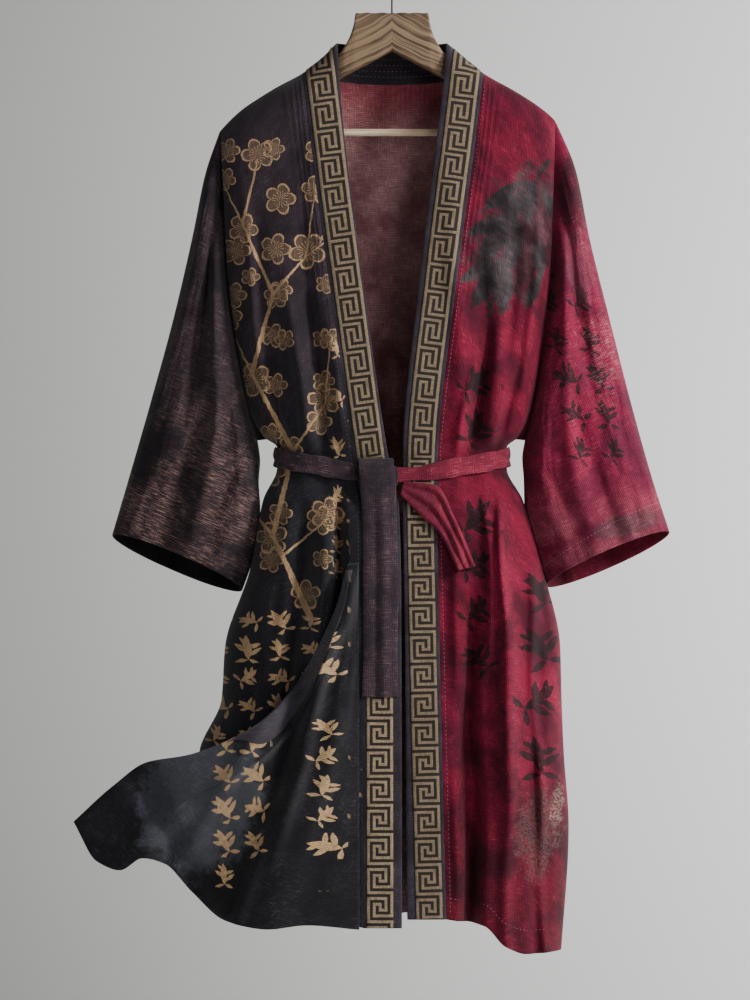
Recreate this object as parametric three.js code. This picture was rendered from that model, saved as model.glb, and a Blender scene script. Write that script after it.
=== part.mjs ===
// Kimono on a wooden hanger, in millimetres: X to the viewer's right, Y away from the viewer, Z up.
// The origin is the point inside the hook where the hanger hangs from a rail.
// A drop is a distance below that point, so Z is always minus a drop.
import * as THREE from 'three';

// Cloth, trim and seams
const CLOTH = 2.0;
const TRIM = 1.0;
const BELT_CLOTH = 2.2;
const SEAM_GAP = 0.3;

// Body: its sections are rounded boxes of this power, crowned over this height at the shoulders
const SIDE_POWER = 2.6;
const CROWN_HEIGHT = 40;
const SHOULDER_SIDE_DROP = 200;
const ARMHOLE_DEPTH = 24;
const UNDERARM_DROP = 684;
const ARMHOLE_GAP = 1.5;
const LAST_ROW = 1370;
const FRONT_COLUMNS = 12;
const BACK_COLUMNS = 22;

// Neck: the seam and the free edge of its band, which dip a little towards the middle of the back
const NECK_SEAM_DROP = 170;
const NECK_FREE_DROP = 128;
const NECK_HALF_WIDTH = 126;
const NECK_FREE_HALF_WIDTH = 77;
const NECK_DIP = 14;
const NECK_GAP = 1.6;
const NECK_COLUMNS = 18;
const NECK_ROWS = 3;
const NECK_TURN_END = 0.001;

// Folds: a fold ends past its line by this share, opens at this rate below the belt, and lies flat
// within a span of the belt; one whose line ends below the hem drop runs on to the hem
const FOLD_RUN_OUT = 1.25;
const FOLD_OPENING = 4;
const FOLD_CLOSING = 2;
const FOLD_HEM_DROP = 1290;
const PRESSED_SPAN = 24;

// Sleeves: the clearance from the side seam grows from the armhole at a rate; folds fade at both ends
const SLEEVE_CLEARANCE = 6;
const SLEEVE_CLEARANCE_RATE = 40;
const SLEEVE_FOLD_REACH = 1.2;
const SLEEVE_COLUMNS = 22;
const SLEEVE_ROWS = 12;

// Belt
const BELT_DROP = 735;
const BELT_RISE = 25;
const BELT_REACH = 160;
const BELT_SPAN = 110;
const BELT_HEIGHT = 25;
const BELT_INNER = CLOTH / 2 + TRIM + 5 * SEAM_GAP;
const BELT_COLUMNS = 30;
const BELT_LAST_TURN = Math.PI - 0.0001;

// Key pattern ribbon
const RIBBON_WIDTH = 36.5;
const RIBBON_INSET = 5;

// Hanger
const HOOK_RADIUS = 23;
const WIRE_RADIUS = 1.3;
const BLOCK_TOP_DROP = 85;
const BAR_RADIUS = 5.2;
const BAR_DROP = 253;
const BAR_HALF_LENGTH = 212.7;
const BAR_SIDES = 14;
const HANGER_SIDES = 8;
const HANGER_CORNER = 0.22;
const HOOK_STEM_DROPS = [BLOCK_TOP_DROP - SEAM_GAP, 72, 60];
const HOOK_ARC = { from: -62, to: 200, step: 14 };
const HOOK_STEPS = 30;
const HOOK_CURVE_SEGMENTS = 2;

// Finishes: colour, roughness, metalness
const finish = (color, roughness, metalness = 0) =>
  new THREE.MeshStandardMaterial({ color, roughness, metalness, side: THREE.DoubleSide });
const AUBERGINE = finish(0x3a323c, 0.9);
const NAVY = finish(0x24252c, 0.88);
const CRIMSON = finish(0x8d1f35, 0.9);
const SLATE = finish(0x3c3a4c, 0.9);
const KEY_PATTERN = finish(0x75644e, 0.85);
const WOOD = finish(0xa08360, 0.65);
const WIRE = finish(0x2c2724, 0.45, 0.8);

// Shoulder line from the left armhole over both sides of the neck to the right armhole
const SHOULDER = [
  { x: -251, drop: 265 },
  { x: -239, drop: 249 },
  { x: -210, drop: 221 },
  { x: -188, drop: 206 },
  { x: -162, drop: 190 },
  { x: -125, drop: 170 },
  { x: -90, drop: 143 },
  { x: -77, drop: 128 },
  { x: 77, drop: 128 },
  { x: 90, drop: 140 },
  { x: 128, drop: 170 },
  { x: 174, drop: 196 },
  { x: 213, drop: 222 },
  { x: 234, drop: 242 },
  { x: 246, drop: 260 },
];

// Body sections: side seams or armholes, and how far the front and back stand out from their plane
const BODY = [
  { drop: 120, left: -240, right: 229, front: 20, back: 42 },
  { drop: 250, left: -240, right: 229, front: 44, back: 52 },
  { drop: 345, left: -236, right: 226, front: 62, back: 58 },
  { drop: 445, left: -231, right: 222, front: 76, back: 62 },
  { drop: 522, left: -222, right: 214, front: 82, back: 66 },
  { drop: 600, left: -210, right: 204, front: 84, back: 68 },
  { drop: 665, left: -199, right: 194, front: 82, back: 68 },
  { drop: 704, left: -180, right: 178, front: 76, back: 67 },
  { drop: 720, left: -161, right: 161, front: 70, back: 65 },
  { drop: 750, left: -161, right: 161, front: 70, back: 65 },
  { drop: 790, left: -181, right: 184, front: 84, back: 76 },
  { drop: 868, left: -198, right: 211, front: 98, back: 88 },
  { drop: 976, left: -234, right: 236, front: 112, back: 102 },
  { drop: 1050, left: -239, right: 238, front: 116, back: 106 },
  { drop: 1123, left: -270, right: 241, front: 118, back: 108 },
  { drop: 1230, left: -280, right: 248, front: 120, back: 110 },
  { drop: 1410, left: -284, right: 237, front: 120, back: 110 },
];

// Front bands: the seam to each front panel and the free edge beside the opening
const BANDS = [
  { drop: 128, leftSeam: -128, leftFree: -77, rightFree: 77, rightSeam: 131 },
  { drop: 170, leftSeam: -125, leftFree: -75, rightFree: 74, rightSeam: 128 },
  { drop: 281, leftSeam: -112, leftFree: -65, rightFree: 61, rightSeam: 115 },
  { drop: 361, leftSeam: -102, leftFree: -55, rightFree: 51, rightSeam: 104 },
  { drop: 469, leftSeam: -87, leftFree: -41, rightFree: 38, rightSeam: 90 },
  { drop: 714, leftSeam: -53, leftFree: -5, rightFree: 16, rightSeam: 64 },
  { drop: 780, leftSeam: -43, leftFree: 9, rightFree: 16, rightSeam: 63 },
  { drop: 907, leftSeam: -41, leftFree: 12, rightFree: 18, rightSeam: 65 },
  { drop: 1375, leftSeam: -40, leftFree: 13, rightFree: 22, rightSeam: 76 },
];

// Hems: share of the way from the side seam to the band, and the drop there
const LEFT_HEM = [
  { share: 0, drop: 1290 },
  { share: 0.5, drop: 1330 },
  { share: 1, drop: 1366 },
];
const RIGHT_HEM = [
  { share: 0, drop: 1401 },
  { share: 0.3, drop: 1404 },
  { share: 0.5, drop: 1392 },
  { share: 0.68, drop: 1364 },
  { share: 1, drop: 1354 },
];
const BACK_HEM = [
  { share: 0, drop: 1290 },
  { share: 0.3, drop: 1340 },
  { share: 0.5, drop: 1356 },
  { share: 0.7, drop: 1352 },
  { share: 0.88, drop: 1388 },
  { share: 1, drop: 1401 },
];

// Sleeve rings from armhole to cuff: ends of the ring on the outer and inner arm, half its depth, and
// how far its middle bows out to follow the armhole seam
const LEFT_SLEEVE = [
  { way: 0, outerX: -241, outerDrop: 250, innerX: -190, innerDrop: 684, depth: 24, bow: 15 },
  { way: 0.15, outerX: -262, outerDrop: 312, innerX: -186, innerDrop: 715, depth: 40, bow: 16 },
  { way: 0.3, outerX: -279, outerDrop: 395, innerX: -188, innerDrop: 744, depth: 49, bow: 8 },
  { way: 0.5, outerX: -306, outerDrop: 512, innerX: -190, innerDrop: 780, depth: 53, bow: 2 },
  { way: 0.7, outerX: -338, outerDrop: 630, innerX: -196, innerDrop: 816, depth: 53, bow: 0 },
  { way: 0.85, outerX: -366, outerDrop: 728, innerX: -206, innerDrop: 856, depth: 51, bow: 0 },
  { way: 1, outerX: -393, outerDrop: 820, innerX: -219, innerDrop: 896, depth: 48, bow: 0 },
];
const RIGHT_SLEEVE = [
  { way: 0, outerX: 230, outerDrop: 238, innerX: 188, innerDrop: 684, depth: 24, bow: 15 },
  { way: 0.15, outerX: 258, outerDrop: 306, innerX: 184, innerDrop: 712, depth: 40, bow: 14 },
  { way: 0.3, outerX: 277, outerDrop: 400, innerX: 187, innerDrop: 740, depth: 49, bow: 6 },
  { way: 0.5, outerX: 306, outerDrop: 517, innerX: 191, innerDrop: 776, depth: 53, bow: 2 },
  { way: 0.7, outerX: 338, outerDrop: 642, innerX: 201, innerDrop: 812, depth: 53, bow: 0 },
  { way: 0.85, outerX: 364, outerDrop: 735, innerX: 213, innerDrop: 852, depth: 51, bow: 0 },
  { way: 1, outerX: 390, outerDrop: 816, innerX: 228, innerDrop: 890, depth: 48, bow: 0 },
];
const CUFF_TILT = 9;

// Loose skirt flap: its free edge from the band out to the tip, and its hem from the band to the tip
const FLAP_TOP_DROP = 858;
const FLAP_HEM_DROP = 1368;
const FLAP_SEAT = 0.5;
const FLAP_SEAM_INSET = 6;
const FLAP_COLUMNS = 18;
const FLAP_ROWS = 16;
const FLAP_EDGE = [
  { share: 0, x: -62, y: -100, drop: 860 },
  { share: 0.1, x: -73, y: -112, drop: 907 },
  { share: 0.22, x: -97, y: -128, drop: 963 },
  { share: 0.36, x: -129, y: -142, drop: 1019 },
  { share: 0.46, x: -157, y: -150, drop: 1054 },
  { share: 0.56, x: -199, y: -154, drop: 1089 },
  { share: 0.7, x: -281, y: -150, drop: 1124 },
  { share: 0.8, x: -340, y: -136, drop: 1135 },
  { share: 0.9, x: -389, y: -116, drop: 1169 },
  { share: 1, x: -444, y: -98, drop: 1219 },
];
const FLAP_HEM = [
  { share: 0, x: -46, y: -124, drop: 1368 },
  { share: 0.15, x: -119, y: -146, drop: 1361 },
  { share: 0.28, x: -172, y: -158, drop: 1366 },
  { share: 0.42, x: -232, y: -138, drop: 1355 },
  { share: 0.55, x: -279, y: -118, drop: 1316 },
  { share: 0.66, x: -315, y: -122, drop: 1277 },
  { share: 0.76, x: -347, y: -138, drop: 1268 },
  { share: 0.85, x: -379, y: -132, drop: 1285 },
  { share: 0.93, x: -412, y: -112, drop: 1273 },
  { share: 1, x: -444, y: -98, drop: 1219 },
];

// Soft folds: a line down the cloth, the fold's half width and how far it rises (less is a trough)
const FRONT_FOLDS = [
  { x0: -150, drop0: 420, x1: -118, drop1: 712, width: 14, rise: 10 },
  { x0: -118, drop0: 470, x1: -92, drop1: 716, width: 13, rise: -11 },
  { x0: -92, drop0: 500, x1: -70, drop1: 720, width: 12, rise: 7 },
  { x0: -118, drop0: 752, x1: -160, drop1: 1180, width: 17, rise: -12 },
  { x0: -92, drop0: 752, x1: -118, drop1: 1300, width: 15, rise: 9 },
  { x0: -70, drop0: 756, x1: -84, drop1: 1200, width: 12, rise: -8 },
  { x0: 170, drop0: 480, x1: 132, drop1: 708, width: 15, rise: 10 },
  { x0: 140, drop0: 500, x1: 108, drop1: 712, width: 13, rise: -10 },
  { x0: 150, drop0: 752, x1: 172, drop1: 1120, width: 20, rise: 13 },
  { x0: 112, drop0: 752, x1: 122, drop1: 1404, width: 18, rise: -15 },
  { x0: 200, drop0: 880, x1: 206, drop1: 1404, width: 16, rise: -8 },
];
const BACK_FOLDS = [
  { x0: -130, drop0: 460, x1: -104, drop1: 712, width: 16, rise: 9 },
  { x0: -82, drop0: 480, x1: -62, drop1: 716, width: 15, rise: -9 },
  { x0: 0, drop0: 420, x1: 4, drop1: 716, width: 22, rise: -10 },
  { x0: 92, drop0: 470, x1: 70, drop1: 716, width: 15, rise: 8 },
  { x0: 140, drop0: 500, x1: 116, drop1: 712, width: 16, rise: -9 },
  { x0: -112, drop0: 752, x1: -168, drop1: 1330, width: 22, rise: -14 },
  { x0: -58, drop0: 752, x1: -84, drop1: 1345, width: 20, rise: 13 },
  { x0: 4, drop0: 752, x1: 0, drop1: 1345, width: 20, rise: -15 },
  { x0: 66, drop0: 752, x1: 84, drop1: 1345, width: 20, rise: 14 },
  { x0: 120, drop0: 752, x1: 166, drop1: 1380, width: 22, rise: -13 },
];
// Sleeve folds run from one place on the ring near the armhole to another near the cuff
const SLEEVE_FOLDS = [
  { round0: 0.1, round1: 0.06, width: 0.035, rise: 6 },
  { round0: 0.2, round1: 0.17, width: 0.04, rise: -7 },
  { round0: 0.3, round1: 0.31, width: 0.045, rise: 8 },
  { round0: 0.66, round1: 0.68, width: 0.05, rise: -8 },
  { round0: 0.82, round1: 0.86, width: 0.05, rise: 7 },
];

// Belt tails: the long one hangs over the knot, the short one is pleated along its length
const LONG_TAIL = [
  { drop: 712, left: -45, right: 1 },
  { drop: 760, left: -43, right: 5 },
  { drop: 860, left: -41, right: 7 },
  { drop: 1044, left: -40, right: 8 },
];
const LONG_TAIL_CLEARANCE = 4.1;
const LONG_TAIL_RIDGE = { rise: 2, across: 0.55, width: 0.2, opening: 3 };
const LONG_TAIL_COLUMNS = 4;
const LONG_TAIL_ROWS = 20;
const KNOT_STAND = 16.6;
const KNOT_REACH = 33;
const KNOT_DROP = 738;
const KNOT_X = -16;
const KNOT_HALF = { x: 25, y: 5.2, drop: 20 };
const KNOT_ROUNDNESS = 3;
const KNOT_END = 0.96;
const KNOT_SIDES = 14;
const KNOT_RINGS = 9;
const SHORT_TAIL = [
  { share: 0, topX: 16, topDrop: 744, underX: 12, underDrop: 762 },
  { share: 0.3, topX: 62, topDrop: 750, underX: 40, underDrop: 792 },
  { share: 0.6, topX: 86, topDrop: 792, underX: 66, underDrop: 816 },
  { share: 1, topX: 116, topDrop: 862, underX: 92, underDrop: 868 },
];
const SHORT_TAIL_PLEATS = 5;
const SHORT_TAIL_PLEAT = 2.4;
const SHORT_TAIL_OPENING = 4;
const SHORT_TAIL_STAND = 9.5;
const SHORT_TAIL_ROOT_STAND = 6.6;
const SHORT_TAIL_CLOTH = 1.6;
const SHORT_TAIL_COLUMNS = 14;
const SHORT_TAIL_ROWS = 9;

// Hanger sections along one arm: its top and bottom edges and half its thickness
const HANGER = [
  { x: 0.2, top: 85, bottom: 139, half: 17 },
  { x: 51, top: 85, bottom: 166, half: 17 },
  { x: 53, top: 98, bottom: 167, half: 17 },
  { x: 58, top: 115, bottom: 170, half: 16.5 },
  { x: 66, top: 131, bottom: 174, half: 16 },
  { x: 73, top: 141, bottom: 178, half: 14 },
  { x: 84, top: 148, bottom: 184, half: 9 },
  { x: 128, top: 178.6, bottom: 207, half: 7 },
  { x: 165, top: 197.9, bottom: 223, half: 7 },
  { x: 190, top: 212.9, bottom: 235, half: 7 },
  { x: 213, top: 229.7, bottom: 246, half: 7 },
  { x: 213.6, top: 230.3, bottom: 266, half: 7 },
  { x: 226, top: 243.7, bottom: 268, half: 6 },
];

// Step of the differences that give a surface's normals, as a share of a grid cell
const NORMAL_STEP = 0.02;

const lerp = (a, b, t) => a + (b - a) * t;
const clamp = (t) => Math.min(1, Math.max(0, t));
const vector = (x, y, drop) => new THREE.Vector3(x, y, -drop);
const bell = (t) => Math.exp(-t * t);

// Value of a table's column at a place in its key column, smooth through the rows without overshoot
function read(rows, key, column, at) {
  const last = rows.length - 1;
  if (at <= rows[0][key]) return rows[0][column];
  if (at >= rows[last][key]) return rows[last][column];
  const n = rows.findIndex((row) => row[key] > at) - 1;
  const rate = (k) => (rows[k + 1][column] - rows[k][column]) / (rows[k + 1][key] - rows[k][key]);
  const slope = (k) => {
    if (k === 0) return rate(0);
    if (k === last) return rate(last - 1);
    const before = rate(k - 1);
    const after = rate(k);
    return before * after > 0 ? (2 * before * after) / (before + after) : 0;
  };
  const span = rows[n + 1][key] - rows[n][key];
  const t = (at - rows[n][key]) / span;
  const start = rows[n][column] * (1 + 2 * t) * (1 - t) ** 2 + slope(n) * span * t * (1 - t) ** 2;
  const end = rows[n + 1][column] * t * t * (3 - 2 * t) - slope(n + 1) * span * t * t * (1 - t);
  return start + end;
}

// Closed wall on a grid of middle points. The two layers lie at inner and outer along the normals.
// A ring joins its last column to its first. The seam function may turn a normal at a sewn edge.
function wall(name, material, columns, rows, middle, options = {}) {
  const { inner = -CLOTH / 2, outer = CLOTH / 2, ring = false, seam = null } = options;
  const across = ring ? columns : columns + 1;
  const points = [];
  for (let j = 0; j <= rows; j += 1) {
    for (let i = 0; i < across; i += 1) points.push(middle(i / columns, j / rows));
  }
  const slope = (i, j, overI, overJ) => {
    const before = [(i - overI) / columns, (j - overJ) / rows];
    const after = [(i + overI) / columns, (j + overJ) / rows];
    const inside = ([u, v]) => middle(ring ? (u + 1) % 1 : clamp(u), clamp(v));
    return inside(after).sub(inside(before));
  };
  const places = [];
  for (const offset of [outer, inner]) {
    for (let j = 0; j <= rows; j += 1) {
      for (let i = 0; i < across; i += 1) {
        const normal = slope(i, j, NORMAL_STEP, 0).cross(slope(i, j, 0, NORMAL_STEP)).normalize();
        if (seam) seam(i / columns, j / rows, normal);
        const place = points[j * across + i].clone().addScaledVector(normal, offset);
        places.push(place.x, place.y, place.z);
      }
    }
  }
  const layer = across * (rows + 1);
  const index = (side, i, j) => side * layer + j * across + (i % across);
  const faces = [];
  const quad = (a, b, c, d) => faces.push(a, b, c, a, c, d);
  for (let j = 0; j < rows; j += 1) {
    for (let i = 0; i < columns; i += 1) {
      quad(index(0, i, j), index(0, i + 1, j), index(0, i + 1, j + 1), index(0, i, j + 1));
      quad(index(1, i, j), index(1, i, j + 1), index(1, i + 1, j + 1), index(1, i + 1, j));
    }
  }
  for (let i = 0; i < columns; i += 1) {
    quad(index(1, i, 0), index(1, i + 1, 0), index(0, i + 1, 0), index(0, i, 0));
    quad(index(0, i, rows), index(0, i + 1, rows), index(1, i + 1, rows), index(1, i, rows));
  }
  for (let j = 0; j < rows && !ring; j += 1) {
    quad(index(0, 0, j), index(0, 0, j + 1), index(1, 0, j + 1), index(1, 0, j));
    quad(index(1, columns, j), index(1, columns, j + 1), index(0, columns, j + 1), index(0, columns, j));
  }
  return solid(name, material, places, faces);
}

// Closed bar through rings of points, with a fan of triangles over each end
function bar(name, material, sides, rings, ringPoint) {
  const places = [];
  for (let j = 0; j < rings; j += 1) {
    for (let i = 0; i < sides; i += 1) {
      const place = ringPoint(i / sides, j);
      places.push(place.x, place.y, place.z);
    }
  }
  const faces = [];
  const index = (i, j) => j * sides + (i % sides);
  for (let j = 0; j < rings - 1; j += 1) {
    for (let i = 0; i < sides; i += 1) {
      faces.push(index(i, j), index(i + 1, j), index(i + 1, j + 1));
      faces.push(index(i, j), index(i + 1, j + 1), index(i, j + 1));
    }
  }
  for (let i = 1; i < sides - 1; i += 1) {
    faces.push(index(0, 0), index(i + 1, 0), index(i, 0));
    faces.push(index(0, rings - 1), index(i, rings - 1), index(i + 1, rings - 1));
  }
  return solid(name, material, places, faces);
}

// Mesh with its faces turned outwards
function solid(name, material, places, faces) {
  const corner = (k) => new THREE.Vector3().fromArray(places, faces[k] * 3);
  let volume = 0;
  for (let k = 0; k < faces.length; k += 3) volume += corner(k).dot(corner(k + 1).cross(corner(k + 2)));
  const geometry = new THREE.BufferGeometry();
  geometry.setAttribute('position', new THREE.Float32BufferAttribute(places, 3));
  geometry.setIndex(volume < 0 ? faces.toReversed() : faces);
  geometry.computeVertexNormals();
  const mesh = new THREE.Mesh(geometry, material);
  mesh.name = name;
  return mesh;
}

// Body surface
const shoulderDrop = (x) => read(SHOULDER, 'x', 'drop', x);
const beltDrop = (x) => BELT_DROP - BELT_RISE * Math.min(1, Math.abs(x) / BELT_REACH) ** 1.5;

// The belt's sides ride higher than its middle, and the sections near it follow
function level(x, drop) {
  return drop + (BELT_DROP - beltDrop(x)) * bell((drop - beltDrop(x)) / BELT_SPAN);
}

// Half depth of the armhole's lens at a drop
function armholeDepth(x, drop) {
  const edge = x < 0 ? LEFT_SLEEVE[0] : RIGHT_SLEEVE[0];
  const share = clamp((drop - edge.outerDrop) / (UNDERARM_DROP - edge.outerDrop));
  return ARMHOLE_DEPTH * 2 * Math.sqrt(share * (1 - share));
}

// Rise of a set of folds, which end softly and lie flat under the belt
function foldRise(folds, x, drop) {
  const pressed = 1 - bell((drop - beltDrop(x)) / PRESSED_SPAN);
  let rise = 0;
  for (const fold of folds) {
    const share = (drop - fold.drop0) / (fold.drop1 - fold.drop0);
    if (share <= 0 || share > FOLD_RUN_OUT) continue;
    const above = drop < BELT_DROP;
    const open = above ? Math.sin(Math.PI * Math.min(1, share)) : Math.min(1, share * FOLD_OPENING);
    const ending = above || fold.drop1 > FOLD_HEM_DROP ? 1 : clamp((FOLD_RUN_OUT - share) * FOLD_CLOSING);
    const centre = lerp(fold.x0, fold.x1, Math.min(1, share));
    rise += fold.rise * open * ending * bell((x - centre) / fold.width);
  }
  return rise * pressed;
}

// Distance that the front (side = -1) or the back (side = 1) stands out at a place
function bodyY(side, x, drop) {
  const here = level(x, drop);
  const edge = Math.abs(read(BODY, 'drop', x < 0 ? 'left' : 'right', here));
  const share = Math.min(1, Math.abs(x) / edge);
  const round = (1 - share ** SIDE_POWER) ** (1 / SIDE_POWER);
  const deep = read(BODY, 'drop', side < 0 ? 'front' : 'back', here);
  const arm = armholeDepth(x, drop) + SEAM_GAP / 2;
  const under = clamp((drop - shoulderDrop(x)) / CROWN_HEIGHT);
  const crown = Math.sqrt(1 - (1 - under) ** 2);
  const folds = foldRise(side < 0 ? FRONT_FOLDS : BACK_FOLDS, x, drop) * round * crown;
  return side * Math.max(SEAM_GAP / 2, (arm + (deep - arm) * round) * crown + folds);
}

// Place on the side seam at a drop
function sideX(left, drop) {
  const middle = read(BODY, 'drop', left ? 'left' : 'right', drop);
  return read(BODY, 'drop', left ? 'left' : 'right', level(middle, drop));
}

// Rows of the body's grid crowd towards the belt: each stretch ends at a drop and has a count of rows
const ROW_STRETCHES = [
  { to: 230, count: 4 },
  { to: 650, count: 10 },
  { to: 704, count: 3 },
  { to: 720, count: 1 },
  { to: 750, count: 2 },
  { to: 790, count: 2 },
  { to: 868, count: 2 },
  { to: LAST_ROW, count: 10 },
];
const ROW_DROPS = [NECK_SEAM_DROP];
for (const { to, count } of ROW_STRETCHES) {
  const from = ROW_DROPS.at(-1);
  for (let n = 1; n <= count; n += 1) ROW_DROPS.push(lerp(from, to, n / count));
}
const BODY_ROWS = ROW_DROPS.length - 1;

// Drop of a row at a column whose shoulder, belt and hem lie at their own drops
function rowDrop(down, top, belt, hem) {
  const row = Math.min(BODY_ROWS - 1, Math.floor(down * BODY_ROWS));
  const drop = lerp(ROW_DROPS[row], ROW_DROPS[row + 1], down * BODY_ROWS - row);
  if (drop < BELT_DROP) return lerp(top, belt, (drop - NECK_SEAM_DROP) / (BELT_DROP - NECK_SEAM_DROP));
  return lerp(belt, hem, (drop - BELT_DROP) / (LAST_ROW - BELT_DROP));
}

// A normal at the side seam lies along X, and one at the shoulder seam has no part along Y
function sewn(sideColumns) {
  return (across, down, normal) => {
    if (sideColumns.includes(across) || down === 0) {
      normal.y = 0;
      normal.normalize();
    }
  };
}

// Front panel from its side seam to its band
function frontPanel(name, material, left) {
  const hem = left ? LEFT_HEM : RIGHT_HEM;
  const column = left ? 'leftSeam' : 'rightSeam';
  const toSide = left ? -1 : 1;
  const neck = vector(read(BANDS, 'drop', column, NECK_SEAM_DROP), 0, NECK_SEAM_DROP);
  const middle = (across, down) => {
    const share = 1 - Math.cos((across * Math.PI) / 2);
    const topX = lerp(sideX(left, SHOULDER_SIDE_DROP), neck.x, share);
    const beltX = lerp(sideX(left, BELT_DROP), read(BANDS, 'drop', column, BELT_DROP), share);
    const drop = rowDrop(down, shoulderDrop(topX), beltDrop(beltX), read(hem, 'share', 'drop', share));
    const seamX = read(BANDS, 'drop', column, drop) + (toSide * SEAM_GAP) / 2;
    const x = lerp(sideX(left, drop), seamX, share);
    return vector(x, bodyY(-1, x, drop), drop);
  };
  return wall(name, material, FRONT_COLUMNS, BODY_ROWS, middle, { seam: sewn([0]) });
}

// Back panel from side seam to side seam, cut out at the neck
function backPanel() {
  const middle = (across, down) => {
    const share = (1 - Math.cos(across * Math.PI)) / 2;
    const topX = lerp(sideX(true, SHOULDER_SIDE_DROP), sideX(false, SHOULDER_SIDE_DROP), share);
    const top = Math.max(shoulderDrop(topX), neckSeamDrop(topX));
    const cut = Math.abs(topX) < NECK_HALF_WIDTH ? NECK_GAP : 0;
    const beltX = lerp(sideX(true, BELT_DROP), sideX(false, BELT_DROP), share);
    const drop = rowDrop(down, top + cut, beltDrop(beltX), read(BACK_HEM, 'share', 'drop', share));
    const x = lerp(sideX(true, drop), sideX(false, drop), share);
    return vector(x, bodyY(1, x, drop), drop);
  };
  return wall('back', CRIMSON, BACK_COLUMNS, BODY_ROWS, middle, { seam: sewn([0, 1]) });
}

// Seam line at the back of the neck
const neckArc = (x) => 1 - Math.min(1, Math.abs(x) / NECK_HALF_WIDTH) ** 2;
const neckSeamDrop = (x) => (Math.abs(x) < NECK_HALF_WIDTH ? NECK_SEAM_DROP + NECK_DIP * neckArc(x) : 0);

// Band behind the neck, from one shoulder to the other
function neckBand() {
  const middle = (across, down) => {
    const turn = Math.PI * lerp(NECK_TURN_END, 1 - NECK_TURN_END, across * across * (3 - 2 * across));
    const dip = NECK_DIP * Math.sin(turn) ** 2;
    const seam = vector(-NECK_HALF_WIDTH * Math.cos(turn), 0, NECK_SEAM_DROP + dip);
    const free = vector(-NECK_FREE_HALF_WIDTH * Math.cos(turn), 0, NECK_FREE_DROP + dip);
    const place = free.lerp(seam, down);
    const drop = Math.max(-place.z, shoulderDrop(place.x) + Math.sin(turn));
    const y = Math.max(bodyY(1, place.x, drop), SEAM_GAP);
    return vector(place.x, y, drop);
  };
  const seam = (across, down, normal) => sewn([0, 1])(across, 1, normal);
  return wall('collar_back', SLATE, NECK_COLUMNS, NECK_ROWS, middle, { seam });
}

// Points on a front band: across from the seam to the free edge, down from the shoulder to the hem.
// The seam's rows are the front panel's own.
function bandPoint(left, across, down) {
  const seam = left ? 'leftSeam' : 'rightSeam';
  const beltX = read(BANDS, 'drop', seam, BELT_DROP);
  const hem = read(left ? LEFT_HEM : RIGHT_HEM, 'share', 'drop', 1);
  const seamDrop = rowDrop(down, NECK_SEAM_DROP, beltDrop(beltX), hem);
  const freeDrop = seamDrop - (NECK_SEAM_DROP - NECK_FREE_DROP) * (1 - down) ** 2;
  const seamX = read(BANDS, 'drop', seam, seamDrop);
  const freeX = read(BANDS, 'drop', left ? 'leftFree' : 'rightFree', freeDrop);
  const toFree = left ? SEAM_GAP / 2 : -SEAM_GAP / 2;
  const x = lerp(seamX + toFree, freeX, across);
  const drop = Math.max(lerp(seamDrop, freeDrop, across), shoulderDrop(x));
  return vector(x, bodyY(-1, x, drop), drop);
}

// Columns of the bands: the two edges, and the ribbon's edges and middle, which the ribbon shares
function bandMiddle(left, column, down) {
  const width = bandPoint(left, 0, down).distanceTo(bandPoint(left, 1, down));
  const stops = [0, RIBBON_INSET, RIBBON_INSET + RIBBON_WIDTH / 2, RIBBON_INSET + RIBBON_WIDTH, width];
  const before = Math.min(stops.length - 2, Math.floor(column));
  const place = lerp(stops[before], stops[before + 1], column - before);
  return bandPoint(left, place / width, down);
}

function band(name, left) {
  const columns = 4;
  const middle = (across, down) => bandMiddle(left, across * columns, down);
  return wall(name, SLATE, columns, BODY_ROWS, middle, { seam: sewn([]) });
}

// Ribbon with the key pattern, on the band's points moved out
function ribbon(name, left) {
  const outward = left ? -1 : 1;
  const columns = 2;
  const middle = (across, down) => bandMiddle(left, 1 + across * columns, down);
  const near = CLOTH / 2 + SEAM_GAP;
  const offsets = { inner: outward * near, outer: outward * (near + TRIM), seam: sewn([]) };
  return wall(name, KEY_PATTERN, columns, BODY_ROWS, middle, offsets);
}

// Sleeve as one tube from the armhole to the cuff, on the ring from the outer arm over the front
function sleeve(name, material, left) {
  const rings = left ? LEFT_SLEEVE : RIGHT_SLEEVE;
  const toSide = left ? -1 : 1;
  const middle = (round, way) => {
    const ring = (column) => read(rings, 'way', column, way);
    const turn = 2 * Math.PI * round;
    const share = (1 - Math.cos(turn)) / 2;
    const seamDrop = lerp(ring('outerDrop'), ring('innerDrop'), share);
    const bow = toSide * ring('bow') * Math.sin(Math.PI * share);
    const bowed = lerp(ring('outerX'), ring('innerX'), share) + bow;
    const clearance = ARMHOLE_GAP + Math.min(SLEEVE_CLEARANCE, way * SLEEVE_CLEARANCE_RATE);
    const clear = sideX(left, seamDrop) + toSide * (CLOTH / 2 + clearance);
    const x = way === 0 || Math.abs(clear) > Math.abs(bowed) ? clear : bowed;
    const drop = seamDrop - CUFF_TILT * way ** 2 * Math.sin(turn);
    let deep = ring('depth');
    for (const fold of SLEEVE_FOLDS) {
      const from = lerp(fold.round0, fold.round1, way);
      const open = Math.sin(Math.PI * clamp(way * SLEEVE_FOLD_REACH));
      deep += fold.rise * open * bell((round - from) / fold.width);
    }
    return vector(x, -deep * Math.sin(turn), drop);
  };
  const seam = (round, way, normal) => {
    if (way === 0) normal.x = 0;
    normal.normalize();
  };
  return wall(name, material, SLEEVE_COLUMNS, SLEEVE_ROWS, middle, { ring: true, seam });
}

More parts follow.
